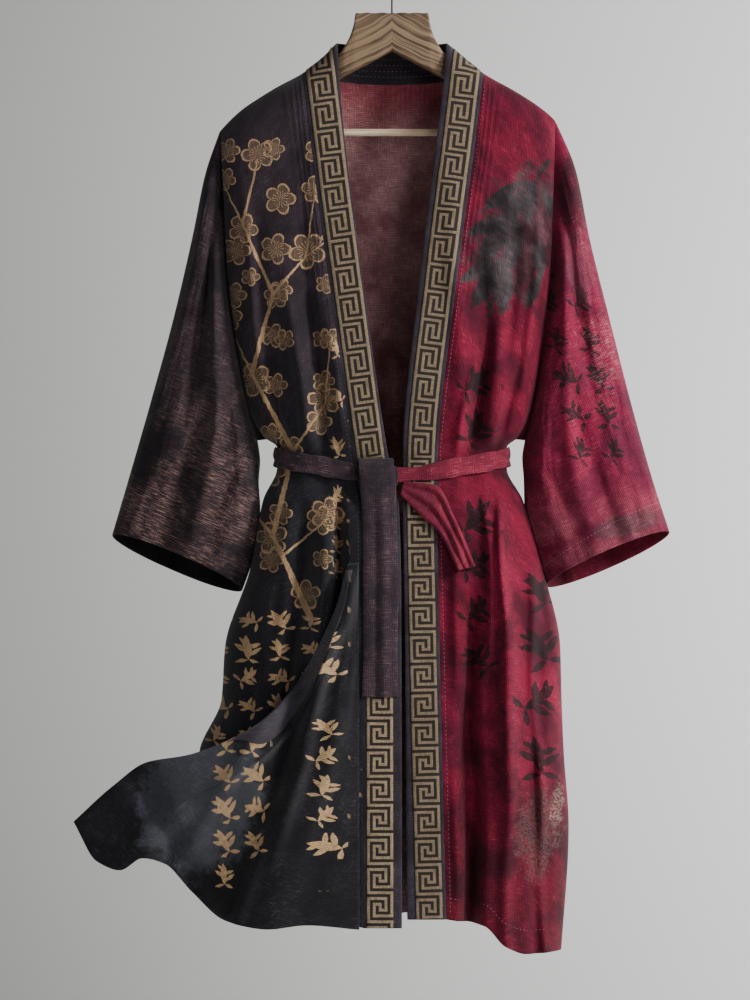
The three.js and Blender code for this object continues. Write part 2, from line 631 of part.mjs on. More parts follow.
// Loose flap of the skirt, spread between its seam on the band, its free edge and its hem
function flap() {
  const axes = ['x', 'y', 'drop'];
  const point = (rows, share) => vector(...axes.map((key) => read(rows, 'share', key, share)));
  const seam = (share) => {
    const drop = lerp(FLAP_TOP_DROP, FLAP_HEM_DROP, share);
    const x = read(BANDS, 'drop', 'leftSeam', drop) - FLAP_SEAM_INSET;
    return vector(x, bodyY(-1, x, drop) - CLOTH - SEAM_GAP + FLAP_SEAT, drop);
  };
  const middle = (across, down) => {
    const place = seam(down).lerp(point(FLAP_EDGE, down), across);
    const straight = seam(1).lerp(point(FLAP_EDGE, 1), across);
    return place.add(point(FLAP_HEM, across).sub(straight).multiplyScalar(down));
  };
  return wall('skirt_flap', NAVY, FLAP_COLUMNS, FLAP_ROWS, middle);
}

// Belt round one half of the waist, from beside the knot to the middle of the back
function belt(name, material, left, startX) {
  const edge = Math.abs(read(BODY, 'drop', left ? 'left' : 'right', BELT_DROP));
  const toSide = left ? -1 : 1;
  const start = Math.asin((Math.abs(startX) / edge) ** (SIDE_POWER / 2));
  const middle = (across, down) => {
    const turn = lerp(start, BELT_LAST_TURN, across);
    const x = toSide * edge * Math.sin(turn) ** (2 / SIDE_POWER);
    const deep = read(BODY, 'drop', turn < Math.PI / 2 ? 'front' : 'back', BELT_DROP);
    const y = -Math.sign(Math.cos(turn)) * deep * Math.abs(Math.cos(turn)) ** (2 / SIDE_POWER);
    return vector(x, y, beltDrop(x) + BELT_HEIGHT * (down - 0.5));
  };
  const outward = left ? 1 : -1;
  const offsets = { inner: outward * BELT_INNER, outer: outward * (BELT_INNER + BELT_CLOTH) };
  return wall(name, material, BELT_COLUMNS, 1, middle, offsets);
}

// Knot: a small flattened loop of cloth in front of the two belt ends
function knot() {
  const y = bodyY(-1, KNOT_X, KNOT_DROP) - BELT_INNER - BELT_CLOTH - KNOT_HALF.y - SEAM_GAP;
  const ring = (round, j) => {
    const turn = 2 * Math.PI * round;
    const tall = lerp(-1, 1, j / (KNOT_RINGS - 1));
    const size = (1 - Math.abs(tall * KNOT_END) ** KNOT_ROUNDNESS) ** (1 / KNOT_ROUNDNESS);
    const x = KNOT_X + KNOT_HALF.x * size * Math.cos(turn);
    return vector(x, y + KNOT_HALF.y * size * Math.sin(turn), KNOT_DROP + KNOT_HALF.drop * tall);
  };
  return bar('belt_knot', AUBERGINE, KNOT_SIDES, KNOT_RINGS, ring);
}

// Long tail, laid over the knot and down the front
function longTail() {
  const { rise, across: place, width, opening } = LONG_TAIL_RIDGE;
  const middle = (across, down) => {
    const drop = lerp(LONG_TAIL[0].drop, LONG_TAIL.at(-1).drop, down);
    const x = lerp(read(LONG_TAIL, 'drop', 'left', drop), read(LONG_TAIL, 'drop', 'right', drop), across);
    const stand = LONG_TAIL_CLEARANCE + KNOT_STAND * bell((drop - KNOT_DROP) / KNOT_REACH);
    const ridge = rise * bell((across - place) / width) * clamp(down * opening);
    return vector(x, bodyY(-1, x, Math.max(drop, BELT_DROP)) - stand - ridge, drop);
  };
  const layers = { inner: -BELT_CLOTH / 2, outer: BELT_CLOTH / 2 };
  return wall('belt_tail_long', AUBERGINE, LONG_TAIL_COLUMNS, LONG_TAIL_ROWS, middle, layers);
}

// Short tail, fanned into pleats
function shortTail() {
  const middle = (across, down) => {
    const edge = (column) => read(SHORT_TAIL, 'share', column, down);
    const x = lerp(edge('underX'), edge('topX'), across);
    const drop = lerp(edge('underDrop'), edge('topDrop'), across);
    const open = clamp(down * SHORT_TAIL_OPENING);
    const pleat = SHORT_TAIL_PLEAT * Math.sin(Math.PI * SHORT_TAIL_PLEATS * across) * open;
    const stand = lerp(SHORT_TAIL_ROOT_STAND, SHORT_TAIL_STAND, open);
    return vector(x, bodyY(-1, x, Math.max(drop, BELT_DROP)) - stand - pleat, drop);
  };
  const layers = { inner: -SHORT_TAIL_CLOTH / 2, outer: SHORT_TAIL_CLOTH / 2 };
  return wall('belt_tail_short', CRIMSON, SHORT_TAIL_COLUMNS, SHORT_TAIL_ROWS, middle, layers);
}

// One half of the hanger: the thick block at the neck and the arm inside the shoulder
function hangerHalf(name, toSide) {
  const square = (value) => Math.sign(value) * Math.abs(value) ** HANGER_CORNER;
  const ring = (round, j) => {
    const row = HANGER[j];
    const turn = 2 * Math.PI * round + Math.PI / HANGER_SIDES;
    const drop = lerp(row.top, row.bottom, (1 + square(Math.cos(turn))) / 2);
    return vector(toSide * row.x, row.half * square(Math.sin(turn)), drop);
  };
  return bar(name, WOOD, HANGER_SIDES, HANGER.length, ring);
}

function hangerBar() {
  const geometry = new THREE.CylinderGeometry(BAR_RADIUS, BAR_RADIUS, 2 * BAR_HALF_LENGTH, BAR_SIDES);
  const mesh = new THREE.Mesh(geometry, WOOD);
  mesh.name = 'hanger_bar';
  mesh.rotation.z = Math.PI / 2;
  mesh.position.set(0, 0, -BAR_DROP);
  return mesh;
}

// Wire hook: a straight stem, a small bend and most of a circle over the hang point
function hangerHook() {
  const centre = -HOOK_RADIUS + WIRE_RADIUS;
  const stem = HOOK_STEM_DROPS.map((drop) => vector(0, 0, drop));
  const arc = [];
  for (let degrees = HOOK_ARC.from; degrees <= HOOK_ARC.to; degrees += HOOK_ARC.step) {
    const turn = THREE.MathUtils.degToRad(degrees);
    arc.push(new THREE.Vector3(HOOK_RADIUS * Math.cos(turn), 0, centre + HOOK_RADIUS * Math.sin(turn)));
  }
  const path = new THREE.CatmullRomCurve3([...stem, ...arc], false, 'centripetal');
  const section = new THREE.Shape().absarc(0, 0, WIRE_RADIUS, 0, 2 * Math.PI);
  const sweep = { extrudePath: path, steps: HOOK_STEPS, bevelEnabled: false };
  const smooth = { curveSegments: HOOK_CURVE_SEGMENTS };
  const mesh = new THREE.Mesh(new THREE.ExtrudeGeometry(section, { ...sweep, ...smooth }), WIRE);
  mesh.name = 'hanger_hook';
  return mesh;
}

const kimono = new THREE.Group();
kimono.add(
  frontPanel('front_left', NAVY, true),
  frontPanel('front_right', CRIMSON, false),
  backPanel(),
  sleeve('sleeve_left', AUBERGINE, true),
  sleeve('sleeve_right', CRIMSON, false),
  neckBand(),
  band('collar_left', true),
  band('collar_right', false),
  ribbon('key_ribbon_left', true),
  ribbon('key_ribbon_right', false),
  flap(),
  belt('belt_left', AUBERGINE, true, -24),
  belt('belt_right', CRIMSON, false, 1),
  knot(),
  longTail(),
  shortTail(),
  hangerHalf('hanger_left', -1),
  hangerHalf('hanger_right', 1),
  hangerBar(),
  hangerHook(),
);

export default kimono;
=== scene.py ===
"""Kimono on a wooden hanger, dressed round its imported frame.

Cloth is worked out in millimetres, with x to the viewer's right, y away from the viewer and a drop
measured down from the hang point. It becomes metres, with z up, where a mesh is made.
"""
import math
from functools import partial

import bpy
import numpy as np
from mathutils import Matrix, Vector


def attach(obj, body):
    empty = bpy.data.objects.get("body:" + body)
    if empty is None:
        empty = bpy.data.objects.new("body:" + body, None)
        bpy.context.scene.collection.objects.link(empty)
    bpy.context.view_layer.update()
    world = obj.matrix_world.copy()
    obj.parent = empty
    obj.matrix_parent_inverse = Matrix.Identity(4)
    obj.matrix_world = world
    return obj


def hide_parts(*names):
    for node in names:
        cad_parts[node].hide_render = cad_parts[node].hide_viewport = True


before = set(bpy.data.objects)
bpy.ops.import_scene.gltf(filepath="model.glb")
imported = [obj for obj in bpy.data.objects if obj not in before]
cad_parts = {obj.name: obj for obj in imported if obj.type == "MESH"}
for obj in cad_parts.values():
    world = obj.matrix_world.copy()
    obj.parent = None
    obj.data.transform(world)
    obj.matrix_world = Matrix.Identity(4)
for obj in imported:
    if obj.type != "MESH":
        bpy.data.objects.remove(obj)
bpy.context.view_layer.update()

MM = 0.001

# Camera: straight in front, far off, its field 1.4 m high at the depth of the front panels
FIELD_HEIGHT = 1.4
FIELD_CENTRE = (-0.0238, -0.770)
FIELD_DEPTH = -0.06
CAMERA_DISTANCE = 12.0
SENSOR = 36.0


def make_camera():
    """Camera that looks along +Y at the middle of the field"""
    data = bpy.data.cameras.new("camera")
    data.sensor_width = SENSOR
    data.lens = SENSOR * CAMERA_DISTANCE / FIELD_HEIGHT
    data.clip_end = 50
    camera = bpy.data.objects.new("camera", data)
    camera.location = (FIELD_CENTRE[0], FIELD_DEPTH - CAMERA_DISTANCE, FIELD_CENTRE[1])
    camera.rotation_euler = (math.radians(90), 0, 0)
    bpy.context.scene.collection.objects.link(camera)
    bpy.context.scene.camera = camera


make_camera()

# Cloth thicknesses and seams
CLOTH = 1.5
TRIM = 1.0
SEAM_GAP = 0.3
CAD_CLOTH = 2.0
CAD_BELT = 2.2

# Body
SIDE_POWER = 2.6
CROWN_HEIGHT = 40
SHOULDER_SIDE_DROP = 200
ARMHOLE_DEPTH = 11
UNDERARM_DROP = 684
LAST_ROW = 1370
PRESSED_SPAN = 24
FOLD_DEPTH = 1.9
FOLD_WIDTH = 0.78
FOLD_WANDER = 3
WANDER_LENGTH = 47
HEM_FOLD_DROP = 1290

# Neck
NECK_SEAM_DROP = 170
NECK_FREE_DROP = 128
NECK_HALF_WIDTH = 126
NECK_FREE_HALF_WIDTH = 77
NECK_DIP = 14
NECK_FREE_DIP = 1.5
NECK_STAND = 30
NECK_GAP = -3.0

# Sleeves
SLEEVE_CLEARANCE = -0.5
SLEEVE_FOLD_DEPTHS = {True: 1.3, False: 0.8}
SLEEVE_FOLD_WIDTH = 0.85
SLEEVE_FOLD_FADE = 0.85
CUFF_TILT = 14

# Belt and its tails
BELT_DROP = 735
BELT_RISE = 25
BELT_REACH = 160
BELT_SPAN = 110
BELT_HEIGHT = 25
BELT_STAND = CAD_CLOTH / 2 + TRIM + 5 * SEAM_GAP + CAD_BELT / 2
KNOT_DROP = 738
KNOT_X = -16
KNOT_HALF = (25, 5.2, 20)
KNOT_STAND = 16.6
KNOT_REACH = 33
LONG_TAIL_CLEARANCE = 4.1
SHORT_TAIL_STANDS = (6.6, 9.5)

# Key pattern ribbon: its width is nine cells
RIBBON_WIDTH = 36.5
RIBBON_INSET = 5
KEY_COLUMNS = 9
KEY_CELL = RIBBON_WIDTH / KEY_COLUMNS
KEY_ROWS = 10

# Hanger and hook
HOOK_RADIUS = 23
WIRE_RADIUS = 1.3
BLOCK_TOP_DROP = 85
BAR_RADIUS = 5.2
BAR_DROP = 253
BAR_HALF_LENGTH = 212.7


def rows(names, *values):
    """Table with one array for each named column"""
    return dict(zip(names.split(), np.array(values, float).T))


SHOULDER = rows(
    "x drop",
    (-251, 265), (-239, 249), (-210, 221), (-188, 206), (-162, 190), (-125, 170), (-90, 143),
    (-77, 128), (77, 128), (90, 140), (128, 170), (174, 196), (213, 222), (234, 242), (246, 260),
)
BODY = rows(
    "drop left right front back",
    (120, -240, 229, 20, 42), (250, -240, 229, 44, 52), (345, -236, 226, 62, 58),
    (445, -231, 222, 76, 62), (522, -222, 214, 82, 66), (600, -210, 204, 84, 68),
    (665, -199, 194, 82, 68), (704, -180, 178, 76, 67), (720, -161, 161, 70, 65),
    (750, -161, 161, 70, 65), (790, -181, 184, 84, 76), (868, -198, 211, 98, 88),
    (976, -234, 236, 112, 102), (1050, -239, 238, 116, 106), (1123, -270, 241, 118, 108),
    (1230, -280, 248, 120, 110), (1410, -284, 237, 120, 110),
)
BANDS = rows(
    "drop left_seam left_free right_free right_seam",
    (128, -128, -77, 77, 131), (170, -125, -75, 74, 128), (281, -112, -65, 61, 115),
    (361, -102, -55, 51, 104), (469, -87, -41, 38, 90), (714, -53, -5, 16, 64),
    (780, -43, 9, 16, 63), (907, -41, 12, 18, 65), (1375, -40, 13, 22, 76),
)
HEMS = {
    "left": rows("share drop", (0, 1290), (0.5, 1330), (1, 1366)),
    "right": rows("share drop", (0, 1401), (0.3, 1404), (0.5, 1392), (0.68, 1364), (1, 1354)),
    "back": rows("share drop", (0, 1290), (0.3, 1340), (0.5, 1356), (0.7, 1352), (0.88, 1388), (1, 1401)),
}
SLEEVES = {
    "left": rows(
        "way outer_x outer_drop inner_x inner_drop depth bow",
        (0, -241, 250, -190, 684, ARMHOLE_DEPTH, 15), (0.15, -262, 312, -186, 715, 40, 16),
        (0.3, -279, 395, -188, 744, 49, 8), (0.5, -306, 512, -186, 780, 53, 2),
        (0.7, -338, 630, -187, 816, 53, 0), (0.85, -366, 728, -197, 856, 51, 0),
        (1, -393, 820, -211, 896, 48, 0),
    ),
    "right": rows(
        "way outer_x outer_drop inner_x inner_drop depth bow",
        (0, 230, 238, 188, 684, ARMHOLE_DEPTH, 15), (0.15, 258, 306, 184, 712, 40, 14),
        (0.3, 277, 400, 186, 740, 49, 6), (0.5, 306, 517, 187, 776, 53, 2),
        (0.7, 338, 642, 191, 812, 53, 0), (0.85, 364, 735, 201, 852, 51, 0),
        (1, 390, 816, 217, 890, 48, 0),
    ),
}
FLAP_TOP_DROP = 858
FLAP_HEM_DROP = 1368
FLAP_SEAT = 0.5
FLAP_SEAM_INSET = 6
FLAP_EDGE = rows(
    "share x y drop",
    (0, -62, -100, 860), (0.1, -73, -112, 907), (0.22, -97, -128, 963), (0.36, -129, -142, 1019),
    (0.46, -157, -150, 1054), (0.56, -199, -154, 1089), (0.7, -281, -150, 1124),
    (0.8, -340, -136, 1135), (0.9, -389, -116, 1169), (1, -444, -98, 1219),
)
FLAP_HEM = rows(
    "share x y drop",
    (0, -46, -124, 1368), (0.15, -119, -146, 1361), (0.28, -172, -158, 1366), (0.42, -232, -138, 1355),
    (0.55, -279, -118, 1316), (0.66, -315, -122, 1277), (0.76, -347, -138, 1268),
    (0.85, -379, -132, 1285), (0.93, -412, -112, 1273), (1, -444, -98, 1219),
)
LONG_TAIL = rows("drop left right", (712, -45, 1), (760, -43, 5), (860, -41, 7), (1044, -40, 8))
SHORT_TAIL = rows(
    "share top_x top_drop under_x under_drop",
    (0, 16, 744, 12, 762), (0.3, 62, 750, 40, 792), (0.6, 86, 792, 66, 816), (1, 116, 862, 92, 868),
)
SHORT_TAIL_PLEATS = 5
SHORT_TAIL_PLEAT = 2.4
HANGER = rows(
    "x top bottom half",
    (0.2, 85, 139, 17), (51, 85, 166, 17), (53, 98, 167, 17), (58, 115, 170, 16.5), (66, 131, 174, 16),
    (73, 141, 178, 14), (84, 148, 184, 9), (128, 178.6, 207, 7), (165, 197.9, 223, 7),
    (190, 212.9, 235, 7), (213, 229.7, 246, 7), (213.6, 230.3, 266, 7), (226, 243.7, 268, 6),
)

# Folds of the body: a line down the cloth, half width and rise, where less than none is a trough
FRONT_FOLDS = rows(
    "x0 drop0 x1 drop1 width rise",
    (-150, 420, -118, 712, 14, 10), (-118, 470, -92, 716, 12, -12), (-92, 500, -70, 720, 10, 7),
    (-178, 560, -146, 706, 9, -6), (-165, 600, -132, 706, 7, 4), (-104, 600, -82, 712, 6, -5),
    (-118, 752, -160, 1180, 15, -13), (-92, 752, -118, 1300, 13, 9), (-70, 756, -84, 1200, 10, -8),
    (-140, 756, -196, 1080, 12, 7), (-150, 760, -222, 1290, 14, -8),
    (170, 480, 132, 708, 14, 10), (140, 500, 108, 712, 11, -11), (116, 560, 92, 712, 8, 5),
    (186, 560, 150, 704, 9, -7), (160, 620, 140, 706, 6, 4),
    (150, 752, 166, 1180, 20, 13), (108, 860, 116, 1404, 15, -17), (200, 880, 206, 1404, 14, -8),
    (128, 752, 140, 960, 8, 5), (92, 756, 96, 1404, 12, 6), (165, 900, 160, 1404, 12, 6),
    (178, 756, 226, 1000, 10, -5), (206, 900, 168, 880, 8, 2),
    (-84, 560, -74, 716, 9, -10), (-76, 754, -66, 960, 9, -12), (-200, 330, -150, 700, 16, -8),
    (100, 1010, 104, 1404, 12, -16), (186, 300, 150, 640, 13, -9), (212, 300, 186, 640, 9, 8),
    (84, 300, 96, 700, 16, 5), (134, 330, 122, 700, 13, -6), (150, 756, 158, 930, 7, 8),
    (-214, 300, -176, 660, 10, 8), (-130, 290, -112, 560, 15, -5), (190, 756, 214, 1404, 9, 8),
)
BACK_FOLDS = rows(
    "x0 drop0 x1 drop1 width rise",
    (-130, 460, -104, 712, 15, 9), (-82, 480, -62, 716, 13, -10), (0, 420, 4, 716, 20, -10),
    (92, 470, 70, 716, 13, 8), (140, 500, 116, 712, 14, -10), (-40, 560, -30, 716, 8, 5),
    (36, 590, 30, 716, 8, 5), (-160, 600, -136, 708, 8, -5), (162, 600, 140, 706, 8, 5),
    (-112, 752, -168, 1330, 20, -15), (-58, 752, -84, 1345, 18, 13), (4, 752, 0, 1345, 18, -15),
    (66, 752, 84, 1345, 18, 14), (120, 752, 166, 1380, 20, -14), (-30, 752, -40, 1000, 9, -5),
    (34, 752, 42, 1100, 9, -6), (-140, 756, -214, 1200, 12, 8), (146, 756, 212, 1250, 12, 8),
)
# Folds of a sleeve: place round the ring at the armhole and at the cuff, and where each starts and stops
SLEEVE_FOLDS = rows(
    "round0 round1 start stop width rise",
    (0.09, 0.07, 0.0, 1.0, 0.030, 9), (0.15, 0.20, -0.1, 0.62, 0.028, -16),
    (0.215, 0.285, 0.0, 1.15, 0.030, 12), (0.25, 0.215, 0.3, 1.15, 0.026, -13),
    (0.36, 0.35, 0.1, 1.1, 0.035, 9), (0.43, 0.43, 0.0, 1.1, 0.030, -9),
    (0.66, 0.68, 0.0, 1.1, 0.050, -12), (0.74, 0.76, 0.0, 1.1, 0.030, 8),
    (0.82, 0.86, 0.0, 1.1, 0.040, -8), (0.44, 0.30, 0.18, 0.62, 0.016, 4),
    (0.46, 0.26, 0.32, 0.85, 0.014, -5), (0.20, 0.12, 0.55, 1.2, 0.018, 5),
    (0.90, 0.95, 0.1, 0.8, 0.025, -5), (0.56, 0.60, 0.1, 0.9, 0.022, 6),
)
# Narrow ribs beside a front band: distance from it, width and rise
TUCKS = ((5, 1.7, 1.9), (11, 1.9, 1.7), (18, 2.4, 1.3), (27, 3.0, 0.8))
# Rises along the flap's ridge: height, distance beside it, width and four drops, from which each
# starts, is full, fades and is gone
FLAP_RISES = (
    (20, 0, 12, 0, 1, 1180, 1330), (-22, -32, 20, 0, 1, 1050, 1250), (5, 42, 10, 940, 1010, 1160, 1300),
)
# Slanted folds of the flap: rise, a place as x and drop, lean and width
FLAP_FOLDS = ((12, -250, 1200, -0.6, 18), (-15, -330, 1200, 0.5, 20), (8, -196, 1300, -0.35, 10))
# Lengthwise ridges of the long tail: rise, share across, width, and shares down where each starts and is full
TAIL_RIDGES = ((3.4, 0.62, 0.15, 0.03, 0.3), (-1.8, 0.36, 0.09, 0.1, 0.4))
# Small waves of the cloth: lengths, height and a seed for each surface
CRUMPLE_LENGTHS = (140, 105, 82, 63, 48, 35)
CRUMPLE_RISE = 0.55
SEEDS = {"front": 4, "back": 6, "left sleeve": 21, "right sleeve": 22, "flap": 31, "tail": 41}
# Ridge of the flying flap: one line of points down the cloth
FLAP_RIDGE = rows(
    "drop x",
    (900, -60), (930, -64), (991, -91), (1075, -111), (1152, -129), (1215, -150), (1300, -176),
)


def side_name(left):
    """Side as it stands in the names of pieces, nodes and tables"""
    return "left" if left else "right"


def lerp(a, b, t):
    """Place a share t of the way from a to b"""
    return a + (b - a) * t


def bell(t):
    """Bell curve, one at nought"""
    return np.exp(-t * t)


def ease(low, high, t):
    """Smooth step from nought at low to one at high"""
    t = np.clip((t - low) / (high - low), 0, 1)
    return t * t * (3 - 2 * t)


def read(table, key, column, at):
    """Value of a table's column: a cubic through its rows with harmonic-mean slopes, so no overshoot"""
    x = table[key]
    y = table[column]
    span = np.diff(x)
    rate = np.diff(y) / span
    before, after = rate[:-1], rate[1:]
    total = np.where(before * after > 0, before + after, 1)
    inner = np.where(before * after > 0, 2 * before * after / total, 0)
    slope = np.concatenate([rate[:1], inner, rate[-1:]])
    at = np.clip(np.asarray(at, float), x[0], x[-1])
    n = np.clip(np.searchsorted(x, at, "right") - 1, 0, len(x) - 2)
    t = (at - x[n]) / span[n]
    start = y[n] * (1 + 2 * t) * (1 - t) ** 2 + slope[n] * span[n] * t * (1 - t) ** 2
    return start + y[n + 1] * t * t * (3 - 2 * t) - slope[n + 1] * span[n] * t * t * (1 - t)


def point(x, y, drop):
    """Points as an array whose last axis is x, y and z"""
    return np.stack(np.broadcast_arrays(x, y, -np.asarray(drop, float)), axis=-1)


def unit(vectors):
    """Vectors of length one"""
    return vectors / np.maximum(np.linalg.norm(vectors, axis=-1, keepdims=True), 1e-9)


def crumple(a, b, seed, size=1.0):
    """Small uneven waves: a sum of sines in drawn directions, 35 to 140 mm long and under 1 mm high"""
    draw = np.random.default_rng(seed)
    rise = np.zeros(np.broadcast(a, b).shape)
    for length in CRUMPLE_LENGTHS:
        turn, phase, lean = draw.uniform(0, 2 * math.pi, 3)
        wave = 2 * math.pi / length
        bend = 0.35 * np.sin(b * wave * 0.31 + lean)
        way = a * math.cos(turn) + b * math.sin(turn)
        rise += length / CRUMPLE_LENGTHS[0] * np.sin(wave * way + phase + bend)
    return size * CRUMPLE_RISE * rise


def shoulder_drop(x):
    return read(SHOULDER, "x", "drop", x)


def belt_drop(x):
    """Drop of the belt's middle line, which rises to the sides by the power 1.5 of the distance"""
    return BELT_DROP - BELT_RISE * np.minimum(1, np.abs(x) / BELT_REACH) ** 1.5


def level(x, drop):
    """Drop at which the section table is read, shifted near the belt because its sides ride higher"""
    return drop + (BELT_DROP - belt_drop(x)) * bell((drop - belt_drop(x)) / BELT_SPAN)


def side_edge(left, drop):
    return read(BODY, "drop", side_name(left), drop)


def side_x(left, drop):
    """Place of the side seam at a drop"""
    return side_edge(left, level(side_edge(left, drop), drop))


def armhole_depth(x, drop):
    """Half depth of the armhole's lens: the height of a circle over its share of the drop"""
    top = np.where(x < 0, SLEEVES["left"]["outer_drop"][0], SLEEVES["right"]["outer_drop"][0])
    share = np.clip((drop - top) / (UNDERARM_DROP - top), 0, 1)
    return ARMHOLE_DEPTH * 2 * np.sqrt(share * (1 - share))


def fold_rise(folds, x, drop):
    """Sum of the folds: a bell across each line, deepest by the belt and pressed flat under it"""
    pressed = 1 - bell((drop - belt_drop(x)) / PRESSED_SPAN)
    rise = 0
    for x0, drop0, x1, drop1, width, high in zip(*folds.values()):
        share = (drop - drop0) / (drop1 - drop0)
        along = np.clip(share, 0, 1)
        above = np.sin(math.pi * along) * 0.6 + 0.4 * ease(0, 0.9, along) * (share < 1.1)
        below = ease(0, 0.25, share) * (1 if drop1 > HEM_FOLD_DROP else ease(1.3, 0.85, share))
        aside = x - lerp(x0, x1, along) - FOLD_WANDER * np.sin(drop / WANDER_LENGTH + x0)
        depth = np.where(drop < BELT_DROP, above, below)
        rise = rise + high * depth * bell(aside / (width * FOLD_WIDTH))
    return rise * pressed


def body_y(side, x, drop):
    """Depth of the front (side -1) or back (side 1): a rounded box of power 2.6, crowned at the shoulder"""
    here = level(x, drop)
    edge = np.abs(np.where(x < 0, side_edge(True, here), side_edge(False, here)))
    share = np.minimum(1, np.abs(x) / edge)
    arch = (1 - share ** SIDE_POWER) ** (1 / SIDE_POWER)
    deep = read(BODY, "drop", "front" if side < 0 else "back", here)
    arm = armhole_depth(x, drop) + SEAM_GAP / 2
    crown = np.sqrt(1 - (1 - np.clip((drop - shoulder_drop(x)) / CROWN_HEIGHT, 0, 1)) ** 2)
    folds = FOLD_DEPTH * fold_rise(FRONT_FOLDS if side < 0 else BACK_FOLDS, x, drop)
    folds = folds + crumple(x, drop, SEEDS["front" if side < 0 else "back"])
    return side * np.maximum(SEAM_GAP / 2, (arm + (deep - arm) * arch) * crown + folds * arch * crown)


def row_drop(down, top, belt, hem):
    """Drop of a row: its share above or below the belt, between the shoulder, belt and hem of its column"""
    drop = lerp(NECK_SEAM_DROP, LAST_ROW, down)
    above = lerp(top, belt, (drop - NECK_SEAM_DROP) / (BELT_DROP - NECK_SEAM_DROP))
    below = lerp(belt, hem, (drop - BELT_DROP) / (LAST_ROW - BELT_DROP))
    return np.where(drop < BELT_DROP, above, below)


def tucks(away, drop):
    """Narrow ribs beside a band: a bell across for each, dying away down the chest"""
    rise = 0
    for place, width, high in TUCKS:
        rise = rise + high * bell((away - place - 0.8 * np.sin(drop / 31 + place)) / width)
    return rise * ease(640, 380, drop)


def front_point(left, across, down):
    """Front panel: columns crowd to the side seam as a cosine, rows run from the shoulder to the hem"""
    hem = HEMS[side_name(left)]
    seam = side_name(left) + "_seam"
    out = -1 if left else 1
    neck_x = read(BANDS, "drop", seam, NECK_SEAM_DROP)
    share = 1 - np.cos(across * math.pi / 2)
    top_x = lerp(side_x(left, SHOULDER_SIDE_DROP), neck_x, share)
    belt_x = lerp(side_x(left, BELT_DROP), read(BANDS, "drop", seam, BELT_DROP), share)
    drop = row_drop(down, shoulder_drop(top_x), belt_drop(belt_x), read(hem, "share", "drop", share))
    seam_x = read(BANDS, "drop", seam, drop) + out * SEAM_GAP / 2
    x = lerp(side_x(left, drop), seam_x, share)
    crown = ease(0, 25, drop - shoulder_drop(x))
    return point(x, body_y(-1, x, drop) - tucks(np.abs(x - seam_x), drop) * crown, drop)


def neck_seam_drop(x):
    arc = 1 - np.minimum(1, np.abs(x) / NECK_HALF_WIDTH) ** 2
    return np.where(np.abs(x) < NECK_HALF_WIDTH, NECK_SEAM_DROP + NECK_DIP * arc, 0)


def back_point(across, down):
    """Back panel from side seam to side seam, cut out below the neck band"""
    share = (1 - np.cos(across * math.pi)) / 2
    top_x = lerp(side_x(True, SHOULDER_SIDE_DROP), side_x(False, SHOULDER_SIDE_DROP), share)
    top = np.maximum(shoulder_drop(top_x), neck_seam_drop(top_x))
    top = top + NECK_GAP * (np.abs(top_x) < NECK_HALF_WIDTH)
    belt_x = lerp(side_x(True, BELT_DROP), side_x(False, BELT_DROP), share)
    drop = row_drop(down, top, belt_drop(belt_x), read(HEMS["back"], "share", "drop", share))
    x = lerp(side_x(True, drop), side_x(False, drop), share)
    return point(x, body_y(1, x, drop), drop)


def neck_band_point(across, down):
    """Band behind the neck: half an ellipse down to its seam, stood off behind the hanger by a sine"""
    turn = math.pi * lerp(0.001, 0.999, ease(0, 1, across))
    arch = np.sin(turn) ** 2
    free = point(-NECK_FREE_HALF_WIDTH * np.cos(turn), 0, NECK_FREE_DROP + NECK_FREE_DIP * arch)
    seam = point(-NECK_HALF_WIDTH * np.cos(turn), 0, NECK_SEAM_DROP + NECK_DIP * arch)
    place = lerp(free, seam, down[..., None])
    x = place[..., 0]
    drop = np.maximum(-place[..., 2], shoulder_drop(x) + np.sin(turn))
    stand = np.maximum(SEAM_GAP, NECK_STAND * np.sin(turn))
    return point(x, np.maximum(body_y(1, x, drop), stand), drop)


def band_point(left, across, down):
    """Front band: across from the panel's seam to the free edge, rows turned up at the neck"""
    seam = side_name(left) + "_seam"
    hem = HEMS[side_name(left)]["drop"][-1]
    seam_drop = row_drop(down, NECK_SEAM_DROP, belt_drop(read(BANDS, "drop", seam, BELT_DROP)), hem)
    free_drop = seam_drop - (NECK_SEAM_DROP - NECK_FREE_DROP) * (1 - down) ** 2
    seam_x = read(BANDS, "drop", seam, seam_drop) + (SEAM_GAP / 2 if left else -SEAM_GAP / 2)
    x = lerp(seam_x, read(BANDS, "drop", side_name(left) + "_free", free_drop), across)
    drop = np.maximum(lerp(seam_drop, free_drop, across), shoulder_drop(x))
    return point(x, body_y(-1, x, drop), drop)


def ribbon_point(left, across, down):
    """Ribbon on the band's middle points, inset from the seam and as wide as its pattern"""
    edges = band_point(left, np.zeros_like(down), down), band_point(left, np.ones_like(down), down)
    width = np.abs(edges[1] - edges[0])[..., 0]
    return band_point(left, (RIBBON_INSET + RIBBON_WIDTH * across) / width, down)


